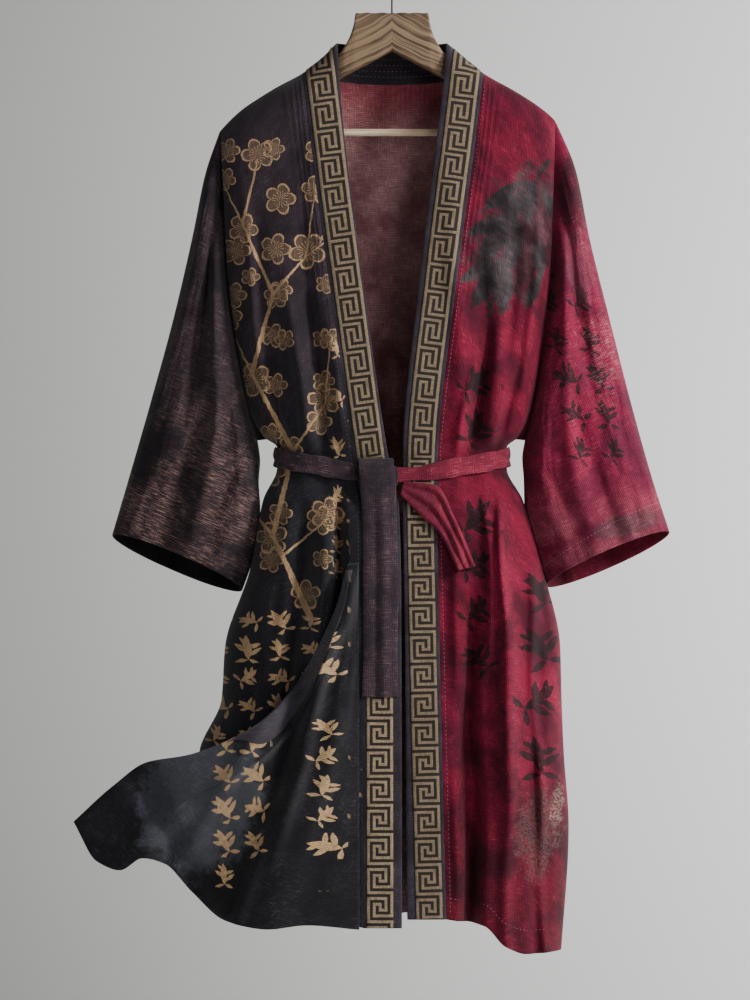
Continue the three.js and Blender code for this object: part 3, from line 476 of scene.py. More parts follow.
def sleeve_point(left, round_, way):
    """Sleeve ring between its outer and inner ends: a cosine across and a sine deep, with folds along it"""
    out = -1 if left else 1
    turn = 2 * math.pi * round_
    share = (1 - np.cos(turn)) / 2

    def of(column):
        return read(SLEEVES[side_name(left)], "way", column, way)

    seam_drop = lerp(of("outer_drop"), of("inner_drop"), share)
    bowed = lerp(of("outer_x"), of("inner_x"), share) + out * of("bow") * np.sin(math.pi * share)
    clear = side_x(left, seam_drop) + out * (CAD_CLOTH / 2 + SLEEVE_CLEARANCE) * ease(0, 0.02, way)
    x = np.where((way == 0) | (np.abs(clear) > np.abs(bowed)), clear, bowed)
    rise = 0
    for round0, round1, start, stop, width, high in zip(*SLEEVE_FOLDS.values()):
        along = (way - start) / (stop - start)
        middle = lerp(round0, round1, way) + 0.006 * np.sin(9 * way + 40 * round0)
        bump = SLEEVE_FOLD_DEPTHS[left] * high * bell((round_ - middle) / (width * SLEEVE_FOLD_WIDTH))
        rise = rise + bump * np.sin(math.pi * np.clip(along * SLEEVE_FOLD_FADE, 0, 1))
    waves = crumple(900 * np.sin(turn), 600 * way, SEEDS[side_name(left) + " sleeve"], 1.2)
    rise = rise + waves * ease(0, 0.1, way)
    y = -(of("depth") + rise) * np.sin(turn)
    return point(x, y, seam_drop - CUFF_TILT * way ** 2 * np.sin(turn))


def flap_point(across, down):
    """Flap: spread between its seam, free edge and hem, with a ridge and folds as bells beside it"""
    def along(table, share):
        return point(*(read(table, "share", axis, share) for axis in ("x", "y", "drop")))

    def seam(share):
        drop = lerp(FLAP_TOP_DROP, FLAP_HEM_DROP, share)
        x = read(BANDS, "drop", "left_seam", drop) - FLAP_SEAM_INSET
        return point(x, body_y(-1, x, drop) - CAD_CLOTH - SEAM_GAP + FLAP_SEAT, drop)

    place = lerp(seam(down), along(FLAP_EDGE, down), across[..., None])
    straight = lerp(seam(np.ones_like(down)), along(FLAP_EDGE, np.ones_like(down)), across[..., None])
    place = place + (along(FLAP_HEM, across) - straight) * down[..., None]
    x, drop = place[..., 0], -place[..., 2]
    free = np.minimum(ease(0, 0.12, across), ease(0, 0.08, down) + 0.4)
    aside = x - read(FLAP_RIDGE, "drop", "x", drop)
    rise = 0
    for high, beside, width, begin, risen, fades, ends in FLAP_RISES:
        shown = ease(begin, risen, drop) * ease(ends, fades, drop)
        rise = rise + high * bell((aside - beside) / width) * shown
    for high, x0, drop0, lean, width in FLAP_FOLDS:
        rise = rise + high * bell((x - x0 - lean * (drop - drop0)) / width)
    rise = rise + crumple(x, drop, SEEDS["flap"])
    place[..., 1] -= rise * free
    return place


def belt_point(left, start_x, across, down):
    """Half belt: round the waist's rounded box, from beside the knot to the middle of the back"""
    edge = float(np.abs(side_edge(left, BELT_DROP)))
    start = math.asin((abs(start_x) / edge) ** (SIDE_POWER / 2))
    turn = lerp(start, math.pi - 0.0001, across)
    x = (-1 if left else 1) * edge * np.sin(turn) ** (2 / SIDE_POWER)
    front = turn < math.pi / 2
    deep = np.where(front, *(read(BODY, "drop", column, BELT_DROP) for column in ("front", "back")))
    y = -np.sign(np.cos(turn)) * deep * np.abs(np.cos(turn)) ** (2 / SIDE_POWER)
    pleat = 0.55 * np.sin(2 * math.pi * (1.5 * down + 0.3 * np.sin(across * 23)))
    pleat = pleat + 0.25 * np.sin(across * 83 + down * 4)
    swell = 1 + pleat * ease(0, 0.03, across) * ease(1, 0.97, across) / 100
    height = BELT_HEIGHT * (1 - 0.32 * bell((np.abs(x) - 26) / 26) * front)
    return point(x * swell, y * swell, belt_drop(x) + height * (down - 0.5) + 0.4 * np.sin(across * 31))


def long_tail_point(across, down):
    """Long tail: over the knot and down the front, with a soft lengthwise ridge and a rolled top"""
    drop = lerp(LONG_TAIL["drop"][0], LONG_TAIL["drop"][-1], down)
    x = lerp(read(LONG_TAIL, "drop", "left", drop), read(LONG_TAIL, "drop", "right", drop), across)
    stand = LONG_TAIL_CLEARANCE + KNOT_STAND * bell((drop - KNOT_DROP) / KNOT_REACH)
    ridge = 0
    for high, middle, width, begin, full in TAIL_RIDGES:
        ridge = ridge + high * bell((across - middle) / width) * ease(begin, full, down)
    ridge = ridge + crumple(x, drop, SEEDS["tail"], 0.7)
    edge = -1.6 * bell(across / 0.06) - 1.6 * bell((1 - across) / 0.06)
    rolled = -7 * bell(down / 0.02)
    y = body_y(-1, x, np.maximum(drop, BELT_DROP)) - stand - ridge - edge - rolled
    x = x + (across - 0.5) * 1.6 * np.sin(drop / 27) + 0.8 * np.sin(drop / 61)
    return point(x, y, drop)


def short_tail_point(across, down):
    """Short tail: lengthwise pleats as a sine across, opening from the knot"""
    def along(column):
        return read(SHORT_TAIL, "share", column, down)

    x = lerp(along("under_x"), along("top_x"), across)
    drop = lerp(along("under_drop"), along("top_drop"), across)
    opened = np.clip(down * 4, 0, 1)
    pleat = SHORT_TAIL_PLEAT * np.sin(math.pi * SHORT_TAIL_PLEATS * across) * opened
    stand = lerp(*SHORT_TAIL_STANDS, opened)
    return point(x, body_y(-1, x, np.maximum(drop, BELT_DROP)) - stand - pleat, drop)


def grid(make, across, down, ring=False):
    """Points of a surface on an even grid of its two parameters; a ring leaves out its last column"""
    u = np.linspace(0, 1, across + 1)[: across if ring else None]
    v = np.linspace(0, 1, down + 1)
    return make(*np.meshgrid(u, v, indexing="ij"))


def cloth_map(points, ring):
    """Distances over the cloth in metres, across from the middle column and down from the top row"""
    closed = np.concatenate([points, points[:1]]) if ring else points
    across = np.linalg.norm(np.diff(closed, axis=0), axis=-1)
    across = np.concatenate([np.zeros((1, across.shape[1])), np.cumsum(across, axis=0)])
    down = np.linalg.norm(np.diff(closed, axis=1), axis=-1)
    down = np.concatenate([np.zeros((down.shape[0], 1)), np.cumsum(down, axis=1)], axis=1)
    return np.stack([across - across[len(across) // 2], down], axis=-1) * MM


def new_mesh(name, places, faces, uvs=None, inside=None):
    """Mesh in metres from points in millimetres, turned so that its volume is positive, and smooth"""
    places = np.asarray(places, float).reshape(-1, 3) * MM
    first, rest = faces[:, :1], faces[:, 1:]
    volume = 0
    for k in range(rest.shape[1] - 1):
        a, b, c = places[first[:, 0]], places[rest[:, k]], places[rest[:, k + 1]]
        volume += np.einsum("ij,ij->", a, np.cross(b, c))
    if volume < 0:
        faces = faces[:, ::-1]
        uvs = None if uvs is None else uvs[:, ::-1]
    mesh = bpy.data.meshes.new(name)
    mesh.from_pydata(places.tolist(), [], faces.tolist())
    mesh.polygons.foreach_set("use_smooth", np.ones(len(faces), bool))
    if uvs is not None:
        mesh.uv_layers.new(name="cloth").data.foreach_set("uv", uvs.reshape(-1))
    if inside is not None:
        mesh.polygons.foreach_set("material_index", inside.astype(np.int32))
    mesh.update()
    piece = bpy.data.objects.new(name, mesh)
    bpy.context.scene.collection.objects.link(piece)
    return piece


def shell(name, points, thickness=CLOTH, offset=0.0, ring=False, toward=None, uv=None):
    """Closed cloth wall: two layers along the normals of a grid, joined by a rounded rim.

    The offset moves the wall along the normals, which are first turned to face the given direction.
    The inner layer has material 1, the rest material 0.
    """
    if ring:
        across = np.roll(points, -1, axis=0) - np.roll(points, 1, axis=0)
    else:
        across = np.gradient(points, axis=0)
    normal = unit(np.cross(across, np.gradient(points, axis=1)))
    if toward is not None and np.sum(normal * np.array(toward)) < 0:
        normal = -normal
    middle = points + normal * offset
    outer = middle + normal * thickness / 2
    inner = middle - normal * thickness / 2
    n, m = points.shape[:2]
    index = np.arange(n * m).reshape(n, m)
    index = np.concatenate([index, index[:1]]) if ring else index
    uv = cloth_map(points, ring) if uv is None else uv

    def quads(array):
        corners = [array[:-1, :-1], array[1:, :-1], array[1:, 1:], array[:-1, 1:]]
        return np.stack(corners, axis=2).reshape(-1, 4, *array.shape[2:])

    def loop(array):
        if ring:
            return [array[:, 0], array[::-1, -1]]
        return [np.concatenate([array[:-1, 0], array[-1, :-1], array[:0:-1, -1], array[0, ::-1]])]

    def out_of_edge():
        """Direction away from the cloth at each point of its edge"""
        away = np.zeros_like(points)
        away[:, 0] -= unit(points[:, 1] - points[:, 0])
        away[:, -1] += unit(points[:, -1] - points[:, -2])
        if not ring:
            away[0] -= unit(points[1] - points[0])
            away[-1] += unit(points[-1] - points[-2])
        return unit(away)

    rim = middle + out_of_edge() * thickness * 0.4
    rim = np.concatenate([rim, rim[:1]]) if ring else rim
    places = [outer.reshape(-1, 3), inner.reshape(-1, 3)]
    faces = [quads(index), quads(index)[:, ::-1] + n * m]
    uvs = [quads(uv), quads(uv)[:, ::-1]]
    total = 2 * n * m
    for edge, around, edge_uv in zip(loop(index), loop(rim), loop(uv)):
        count = len(edge) - 1
        places.append(around[:-1])
        mid = total + np.arange(count + 1) % count
        here, there = slice(0, -1), slice(1, None)
        faces.append(np.stack([edge[there], edge[here], mid[here], mid[there]], axis=1))
        faces.append(np.stack([mid[there], mid[here], edge[here] + n * m, edge[there] + n * m], axis=1))
        uvs += [np.stack([edge_uv[there], edge_uv[here], edge_uv[here], edge_uv[there]], axis=1)] * 2
        total += count
    layer = len(faces[0])
    faces = np.concatenate(faces)
    inside = np.zeros(len(faces), int)
    inside[layer:2 * layer] = 1
    return new_mesh(name, np.concatenate(places), faces, np.concatenate(uvs), inside)


def colour(code):
    """Linear colour with alpha from a screen colour's code"""
    parts = [int(code[k:k + 2], 16) / 255 for k in (0, 2, 4)]
    return (*[c / 12.92 if c <= 0.04045 else ((c + 0.055) / 1.055) ** 2.4 for c in parts], 1)


class Web:
    """Node tree with short calls: each makes one node, wires or sets its inputs and gives an output"""

    def __init__(self, tree):
        self.tree = tree

    def wire(self, socket, value):
        if isinstance(value, bpy.types.NodeSocket):
            self.tree.links.new(value, socket)
        else:
            socket.default_value = value

    def put(self, kind, values=(), out=0, **settings):
        node = self.tree.nodes.new("ShaderNode" + kind)
        for name, value in settings.items():
            setattr(node, name, value)
        for key, value in dict(values).items():
            self.wire(node.inputs[key], value)
        return node.outputs[out] if out is not None else node

    def math(self, operation, *values):
        return self.put("Math", enumerate(values), operation=operation)

    def chain(self, operation, values):
        """One operation carried through a row of values"""
        result = values[0]
        for value in values[1:]:
            result = self.math(operation, result, value)
        return result

    def times(self, *values):
        return self.chain("MULTIPLY", values)

    def most(self, *values):
        return self.chain("MAXIMUM", values)

    def least(self, *values):
        return self.chain("MINIMUM", values)

    def minus(self, one, other):
        return self.math("SUBTRACT", one, other)

    def size(self, value):
        return self.math("ABSOLUTE", value)

    def fused(self, value, factor, extra):
        """Value times a factor plus an extra"""
        return self.math("MULTIPLY_ADD", value, factor, extra)

    def vector(self, operation, *values, out=0):
        return self.put("VectorMath", enumerate(values), out=out, operation=operation)

    def scaled(self, vector, factor):
        return self.put("VectorMath", {0: vector, "Scale": factor}, operation="SCALE")

    def stretch(self, vector, scale):
        return self.vector("MULTIPLY", vector, scale)

    def split(self, vector):
        return self.put("SeparateXYZ", {0: vector}, out=None).outputs

    def place(self):
        """Object coordinates, in metres"""
        return self.put("TexCoord", out=3)

    def span(self, value, low, high, to_low=0.0, to_high=1.0):
        """Smooth step from one value to another"""
        limits = {0: value, 1: low, 2: high, 3: to_low, 4: to_high}
        return self.put("MapRange", limits, interpolation_type="SMOOTHSTEP")

    def noise(self, vector, scale=1.0, detail=2.0, rough=0.5):
        values = {"Vector": vector, "Scale": scale, "Detail": detail, "Roughness": rough}
        return self.put("TexNoise", values, noise_dimensions="3D")

    def mix(self, share, low, high, blend="MIX"):
        return self.put("Mix", {0: share, 6: low, 7: high}, out=2, data_type="RGBA", blend_type=blend)

    def dye(self, ground, code, *shares):
        """Ground mixed with a colour by the product of the shares"""
        return self.mix(self.times(*shares), ground, colour(code))

    def shade(self, ground, value):
        """Ground multiplied by a grey value"""
        return self.mix(1.0, ground, self.put("CombineColor", {0: value, 1: value, 2: value}), "MULTIPLY")

    def use(self, tree, *values):
        node = self.put("Group", out=None, node_tree=tree)
        for socket, value in zip(node.inputs, values):
            self.wire(socket, value)
        return node.outputs


VECTOR, FLOAT = "Vector", "Float"
MASK = (("Mask", FLOAT),)


def node_group(name, inputs, outputs, build):
    """Shader node group whose build function turns its input sockets into its outputs"""
    tree = bpy.data.node_groups.new(name, "ShaderNodeTree")
    for way, sockets in (("INPUT", inputs), ("OUTPUT", outputs)):
        for label, kind in sockets:
            tree.interface.new_socket(label, in_out=way, socket_type="NodeSocket" + kind)
    source = tree.nodes.new("NodeGroupInput")
    sink = tree.nodes.new("NodeGroupOutput")
    web = Web(tree)
    for socket, value in zip(sink.inputs, build(web, *source.outputs[: len(inputs)])):
        web.wire(socket, value)
    return tree


def build_weave(web, cloth, pitch):
    """Plain weave of uneven threads: each thread rises over the next, some thicken into pale slubs"""
    swirl = web.put("TexNoise", {"Vector": cloth, "Scale": 70.0}, out=1)
    wobble = web.vector("SUBTRACT", swirl, (0.5, 0.5, 0.5))
    bent = web.vector("MULTIPLY_ADD", wobble, (0.0014, 0.0014, 0), cloth)
    x, y, _ = web.split(bent)
    warp, weft = (web.math("SINE", web.times(web.math("DIVIDE", way, pitch), math.pi)) for way in (x, y))
    cross = web.times(warp, weft, 0.4)
    over = web.math("ADD", web.times(web.size(warp), 0.6), cross)
    under = web.minus(web.times(web.size(weft), 0.6), cross)
    lengthwise = web.noise(web.stretch(bent, (640, 70, 0)))
    crosswise = web.noise(web.stretch(bent, (60, 700, 0)))
    patches = web.noise(cloth, 11.0, 5.0, 0.62)
    slubs = web.most(web.span(lengthwise, 0.6, 0.74), web.span(crosswise, 0.57, 0.72))
    slubs = web.times(slubs, web.span(patches, 0.38, 0.62, 0.15, 1.0))
    tone = web.minus(web.math("ADD", lengthwise, crosswise), 1.0)
    heather = web.minus(web.noise(bent, 520.0, 2.0, 0.7), 0.5)
    tone = web.fused(heather, 1.3, tone)
    height = web.fused(slubs, 0.5, web.most(over, under))
    return height, slubs, tone, patches


WEAVE = node_group(
    "weave", (("Cloth", VECTOR), ("Pitch", FLOAT)),
    (("Height", FLOAT), ("Slubs", FLOAT), ("Tone", FLOAT), ("Patches", FLOAT)), build_weave,
)


def new_finish(name):
    """Material with its Principled shader and a web to build on"""
    material = bpy.data.materials.new(name)
    material.use_nodes = True
    return material, Web(material.node_tree), material.node_tree.nodes["Principled BSDF"]


def raise_by(web, shader, strength, distance, height):
    """Bump on the shader's normal"""
    values = {"Strength": strength, "Distance": distance, "Height": height}
    web.wire(shader.inputs["Normal"], web.put("Bump", values))


def build_leaf(web, local):
    """Leaf from nought to one along x: its half width is a share of the product x (1 - x)"""
    x, y, _ = web.split(local)
    width = web.times(x, web.minus(1.0, x), 0.66)
    return [web.span(web.minus(width, web.size(y)), 0.0, 0.025)]


def build_stroke(web, local, width):
    """Brush stroke from nought to one along x, its half width tapering by a third"""
    x, y, _ = web.split(local)
    half = web.minus(web.times(width, web.fused(x, -0.33, 1.0)), web.size(y))
    ends = web.least(web.math("ADD", x, 0.03), web.minus(1.03, x))
    return [web.span(web.least(half, ends), 0.0, 0.012)]


def build_blossom(web, local):
    """Plum blossom of radius one: five petals by the cosine of two and a half turns, and stamens"""
    x, y, _ = web.split(local)
    turn = web.times(web.math("ARCTAN2", y, x), 2.5)
    far = web.vector("LENGTH", local, out=1)
    round_off = web.math("POWER", web.size(web.math("COSINE", turn)), 0.55)
    lobe = web.fused(round_off, 0.5, 0.42)
    outline = web.span(web.size(web.minus(far, lobe)), 0.09, 0.03)
    rays = web.span(web.math("COSINE", web.times(turn, 6.0)), 0.5, 0.9)
    stamens = web.times(rays, web.span(far, 0.55, 0.5))
    petal = web.times(web.span(web.minus(lobe, far), 0.06, 0.1), 0.2)
    return [web.most(outline, web.most(stamens, petal))]


LEAF = node_group("leaf", (("Local", VECTOR),), MASK, build_leaf)
STROKE = node_group("stroke", (("Local", VECTOR), ("Width", FLOAT)), MASK, build_stroke)
BLOSSOM = node_group("blossom", (("Local", VECTOR),), MASK, build_blossom)


def local_place(web, flat, x, drop, degrees, wide, tall):
    """Flat map seen from a place, turned, and with the two sizes as one"""
    turn = (0, 0, math.radians(degrees))
    values = {"Vector": flat, "Location": (x, drop, 0), "Rotation": turn, "Scale": (wide, tall, 1)}
    return web.put("Mapping", values, vector_type="TEXTURE")


def stamp(web, flat, group, x, drop, degrees, length, *more):
    """Group drawn at a place, turned and stretched to a length, all in the flat map's unit"""
    return web.use(group, local_place(web, flat, x, drop, degrees, length, length), *more)[0]


def line(web, flat, x0, drop0, x1, drop1, half):
    length = math.hypot(x1 - x0, drop1 - drop0)
    degrees = math.degrees(math.atan2(drop1 - drop0, x1 - x0))
    return stamp(web, flat, STROKE, x0, drop0, degrees, length, half / length)


# Sprig of leaves in a cell of size one: x, drop, degrees and length of each leaf
SPRIG = (
    (0.02, 0.34, -100, 0.72), (0.0, 0.2, -35, 0.42), (-0.02, 0.1, -150, 0.4), (-0.03, -0.02, -20, 0.36),
    (-0.05, -0.1, -140, 0.3), (0.02, 0.3, 20, 0.32), (0.0, 0.32, 165, 0.36),
)


def cell_chance(web, flat, pitch, seed):
    """Place in the cell of a grid and the cell's three random values"""
    cells = web.vector("DIVIDE", flat, pitch)
    shifted = web.vector("ADD", web.vector("FLOOR", cells), web.put("CombineXYZ", {2: seed}))
    chance = web.put("TexWhiteNoise", {"Vector": shifted}, out=1, noise_dimensions="3D")
    return web.vector("FRACTION", cells), chance


def build_sprigs(web, flat, pitch, seed):
    """A sprig in every cell of a grid, each turned and sized by the cell's random values, some left out"""
    inside, chance = cell_chance(web, flat, pitch, seed)
    chance = web.split(chance)
    centred = web.vector("SUBTRACT", inside, (0.5, 0.5, 0))
    values = {"Vector": centred, "Angle": web.fused(chance[0], 2.4, -1.2)}
    turned = web.put("VectorRotate", values, rotation_type="Z_AXIS")
    sized = web.scaled(turned, web.fused(chance[1], 0.35, 0.78))
    leaves = [stamp(web, sized, LEAF, *leaf) for leaf in SPRIG]
    return [web.times(web.most(*leaves), web.math("LESS_THAN", chance[2], 0.86))]


def build_scatter(web, flat, pitch, seed):
    """A blossom in most cells of a grid, each moved and sized by the cell's random values"""
    inside, chance = cell_chance(web, flat, pitch, seed)
    middle = web.vector("MULTIPLY_ADD", chance, (0.3, 0.3, 0), (0.35, 0.35, 0))
    third = web.split(chance)[2]
    sized = web.scaled(web.vector("SUBTRACT", inside, middle), web.fused(third, 2.2, 2.8))
    return [web.times(web.use(BLOSSOM, sized)[0], web.math("LESS_THAN", third, 0.8))]


CELL_SOCKETS = (("Flat", VECTOR), ("Pitch", VECTOR), ("Seed", FLOAT))
SCATTER = node_group("scatter", CELL_SOCKETS, MASK, build_scatter)
SPRIGS = node_group("sprigs", CELL_SOCKETS, MASK, build_sprigs)


def flat_place(web, place, waver=2.0):
    """Front view as a flat map in millimetres, x and drop, with a small hand-drawn waver"""
    x, y, drop = web.split(web.stretch(place, (1000, 1000, -1000)))
    flat = web.put("CombineXYZ", {0: x, 1: drop})
    swirl = web.put("TexNoise", {"Vector": flat, "Scale": 0.09, "Detail": 2.0}, out=1)
    return web.vector("MULTIPLY_ADD", swirl, (waver, waver, 0), flat), x, y, drop


def drop_of(web, place):
    return web.times(web.split(place)[2], -1000.0)


def within(web, x, low, high, soft=4.0):
    """One between two values, with soft edges"""
    return web.times(web.span(x, low - soft, low + soft), web.span(x, high + soft, high - soft))


# Soft patches: x, drop, half width, half height, degrees and raggedness
PATCHES = {
    "ink cloud": (176, 404, 58, 104, 24, 0.75), "painted slate sheen": (-268, 1190, 90, 110, 20, 0.5),
    "grey stain": (208, 1236, 34, 66, 8, 0.9), "pale streak": (234, 1200, 9, 34, 4, 1.2),
    "shoulder ink": (258, 345, 22, 62, 0, 0.6), "cuff stain": (334, 806, 52, 17, -16, 0.4),
    "bald": (298, 570, 22, 60, -10, 1.0), "paler top": (264, 440, 20, 62, -8, 0.6),
}
# Fields of sprigs: cell width and height, seed, and limits of x and drop
FIELDS = {
    "front edge": (26, 34, 8.0, -87, -61, 510, 884), "flap right": (60, 41, 5.0, -120, -60, 861, 1312),
    "flap left": (42, 47, 11.0, -252, -168, 1081, 1316), "ink column": (66, 64, 2.0, 90, 156, 576, 1152),
    "ink edge": (84, 78, 6.0, 168, 252, 858, 1170), "sleeve": (46, 52, 4.0, 92, 184, 416, 728),
}


def blob(web, flat, name):
    """Ragged soft patch: an ellipse whose edge is moved by broad and fine noise"""
    x, drop, half_x, half_drop, degrees, rough = PATCHES[name]
    far = web.vector("LENGTH", local_place(web, flat, x, drop, degrees, half_x, half_drop), out=1)
    ragged = web.minus(web.noise(flat, 0.035, 6.0, 0.72), 0.5)
    return web.span(web.fused(ragged, rough * 3, far), 1.1, 0.75)


def sprig_field(web, flat, x, drop, name):
    wide, tall, seed, left, right, top, bottom = FIELDS[name]
    sprigs = web.use(SPRIGS, flat, (wide, tall, 1), seed)[0]
    return web.times(sprigs, web.times(within(web, x, left, right), within(web, drop, top, bottom)))


def worn(web, mask, height, flat, least=0.35):
    """Print with dry-brush gaps: thinned where threads dip and by a fine noise"""
    dry = web.noise(flat, 0.16, 4.0, 0.7)
    return web.times(mask, web.span(web.fused(height, 0.25, dry), 0.42, 0.66, least, 1.0))


# Plum branch up the dark front and its twigs: x, drop, x, drop and half width of each stroke
BRANCH = (
    (-112, 936, -164, 822, 5.5), (-164, 822, -136, 704, 5), (-136, 704, -194, 596, 4.5),
    (-194, 596, -164, 484, 4), (-164, 484, -207, 386, 3.4), (-207, 386, -186, 296, 2.6),
    (-164, 822, -226, 752, 2.4), (-136, 704, -92, 640, 2.6), (-92, 640, -84, 556, 1.8),
    (-194, 596, -228, 524, 2), (-164, 484, -118, 432, 2.6), (-118, 432, -106, 346, 1.8),
    (-207, 386, -234, 330, 1.8), (-150, 850, -88, 800, 2.4), (-118, 432, -86, 408, 1.4),
)
# Blossoms: x, drop, degrees and radius
BLOSSOMS = (
    (-222, 742, 10, 27), (-92, 632, 40, 24), (-84, 548, 5, 17), (-226, 516, 60, 20), (-116, 424, 20, 27),
    (-106, 338, 50, 20), (-232, 322, 15, 17), (-186, 288, 33, 24), (-88, 792, 0, 25), (-190, 604, 28, 25),
    (-160, 488, 50, 18), (-206, 392, 8, 22), (-140, 700, 12, 19), (-166, 826, 44, 24), (-84, 404, 22, 13),
    (-118, 905, 55, 22), (-148, 548, 31, 15), (-196, 460, 3, 14),
)


def gold_print(web, place, cloth, ground, height, patches):
    """Gold plum branch up the dark front and columns of small sprigs on its skirt"""
    flat, x, _, drop = flat_place(web, place, 5.0)
    marks = [line(web, flat, *part) for part in BRANCH]
    marks += [stamp(web, flat, BLOSSOM, *part) for part in BLOSSOMS]
    loose = web.use(SCATTER, flat, (64, 64, 1), 7.0)[0]
    marks.append(web.times(loose, web.times(within(web, x, -256, -64), within(web, drop, 256, 896))))
    small = web.use(SPRIGS, flat, (44, 40, 1), 3.0)[0]
    marks.append(web.times(small, web.times(web.span(drop, 920, 924), within(web, x, -264, -44))))
    marks.append(sprig_field(web, web.vector("ADD", flat, (9, 0, 0)), x, drop, "front edge"))
    return web.dye(ground, "bf9b73", worn(web, web.most(*marks), height, flat), 0.88)


def flap_print(web, place, cloth, ground, height, patches):
    """Painted slate sheen, a painted highlight with pale streaks drawn inside it, and two columns of gold
    sprigs on the flap
    """
    flat, x, _, drop = flat_place(web, place, 3.0)
    # Painted highlight: a pale slate patch stands in for light on the flap; the pale streaks are drawn only
    # inside it
    sheen = blob(web, flat, "painted slate sheen")
    ground = web.dye(ground, "55565f", sheen, 0.5)
    sheen_streaks = web.span(web.noise(web.stretch(flat, (0.05, 0.9, 0)), 1.0, 3.0, 0.7), 0.62, 0.72)
    ground = web.dye(ground, "8d8b90", sheen_streaks, sheen, 0.6)
    columns = [sprig_field(web, flat, x, drop, name) for name in ("flap right", "flap left")]
    return web.dye(ground, "bb9a72", worn(web, web.most(*columns), height, flat), 0.9)


# Bamboo spray in ink: x, drop, degrees and length of each leaf, and the stalk's strokes
SPRAY = (
    (196, 320, 118, 92), (190, 326, 146, 74), (200, 322, 96, 70), (178, 372, 128, 96), (170, 376, 158, 70),
    (184, 378, 104, 84), (160, 432, 122, 88), (152, 436, 150, 66), (166, 440, 98, 78), (214, 330, 70, 58),
    (206, 400, 84, 66), (212, 452, 112, 60),
)
STALK = ((222, 296, 184, 360, 3.2), (183, 364, 162, 428, 3.6), (161, 432, 138, 516, 4.0))


def ink_print(web, place, cloth, ground, height, patches):
    """Black ink on the crimson front: a clouded bamboo spray, columns of sprigs and a stain low down, with
    painted shade darkening the skirt towards the hem
    """
    flat, x, _, drop = flat_place(web, place, 6.0)
    cloud = web.times(blob(web, flat, "ink cloud"), 0.74)
    leaves = [stamp(web, flat, LEAF, *leaf) for leaf in SPRAY] + [line(web, flat, *part) for part in STALK]
    spray = worn(web, web.most(cloud, web.most(*leaves)), height, flat, 0.55)
    ink = web.mix(web.span(patches, 0.4, 0.6), colour("1c1a1c"), colour("474446"))
    ground = web.mix(spray, ground, ink)
    column = sprig_field(web, web.vector("ADD", flat, (-24, 0, 0)), x, drop, "ink column")
    mask = worn(web, web.most(column, sprig_field(web, flat, x, drop, "ink edge")), height, flat, 0.5)
    ground = web.dye(ground, "1b1214", mask, 0.93)
    # Painted shade: the skirt darkened towards the hem, standing in for the shadows of its deep folds
    low_painted_shade = web.mix(1.0, ground, colour("8a6a70"), "MULTIPLY")
    ground = web.mix(web.times(web.span(drop, 1060, 1330), 0.5), ground, low_painted_shade)
    grip = web.span(web.noise(flat, 0.3, 4.0, 0.75), 0.4, 0.62)
    ground = web.dye(ground, "5d504c", blob(web, flat, "grey stain"), grip, 0.7)
    # A pale streak beside the grey stain
    return web.dye(ground, "a08c7c", blob(web, flat, "pale streak"), grip, 0.55)


def sleeve_ink(web, place, cloth, ground, height, patches):
    """Ink on the front of the crimson sleeve: columns of sprigs, worn patches and a dark cuff stain"""
    flat, x, y, drop = flat_place(web, place, 5.0)
    front = web.span(y, 0, -6)
    slant = web.vector("ADD", flat, web.put("CombineXYZ", {0: web.times(drop, -0.22)}))
    column = sprig_field(web, slant, web.split(slant)[0], drop, "sleeve")
    shoulder = web.times(blob(web, flat, "shoulder ink"), 0.7)
    mask = worn(web, web.most(column, shoulder), height, flat, 0.5)
    ground = web.dye(ground, "211a1c", mask, front, 0.9)
    ground = web.dye(ground, "2f292b", blob(web, flat, "cuff stain"), front, 0.62)
    uneven = web.mix(web.span(patches, 0.4, 0.6), ground, colour("7d5a5e"))
    ground = web.mix(web.times(web.span(drop, 700, 860), 0.45), ground, uneven)
    strands = web.span(web.noise(web.stretch(cloth, (90, 700, 0)), 1.0, 3.0, 0.7), 0.5, 0.66)
    ground = web.dye(ground, "b48a8a", blob(web, flat, "bald"), front, strands, 0.6)
    return web.dye(ground, "8a5e68", blob(web, flat, "paler top"), front, 0.22)


def cuff_wear(web, place, cloth, ground, height, patches):
    """Pinkish-tan worn threads, more of them towards the dark sleeve's cuff"""
    strands = web.noise(web.stretch(cloth, (60, 620, 0)), 1.0, 3.0, 0.65)
    low = web.span(drop_of(web, place), 540, 790, 0.12, 1.0)
    return web.dye(ground, "8d6b62", web.span(strands, 0.46, 0.66), web.span(patches, 0.36, 0.58), low)


def dusk(web, place, cloth, ground, height, patches):
    """Aubergine at the chest turns to near-black navy below it, under the gold print"""
    ground = web.dye(ground, "1a1b21", web.span(drop_of(web, place), 400, 820, 0.0, 0.9))
    return gold_print(web, place, cloth, ground, height, patches)


def inside_marks_and_painted_shade(web, place, cloth, ground, height, patches):
    """Inside of the back: crimson by the neck with painted shade as ribs, dusty with dark marks, and painted
    shade darkening it towards the hem
    """
    flat, x, _, drop = flat_place(web, place)
    # Painted shade: light and dark stripes stand in for ribs in the cloth by the neck
    painted_rib_shade = web.span(web.math("SINE", web.times(x, 0.9)), -1, 1, 0.8, 1.08)
    rib_shaded_crimson = web.shade(colour("8a2438"), painted_rib_shade)
    ground = web.mix(web.times(web.span(drop, 270, 190), 0.75), ground, rib_shaded_crimson)
    specks = web.span(web.noise(flat, 0.06, 4.0, 0.7), 0.64, 0.72)
    ground = web.dye(ground, "2c1518", specks, 0.6)
    # Painted shade: the inside of the robe darkened towards the hem
    return web.dye(ground, "160d10", web.span(drop, 760, 1000, 0.0, 0.88))


ROUGH = 0.86
SLUB_SHINE = 0.12
TONE = 0.8
BUMP = 0.7
THREAD_RISE = 0.0008


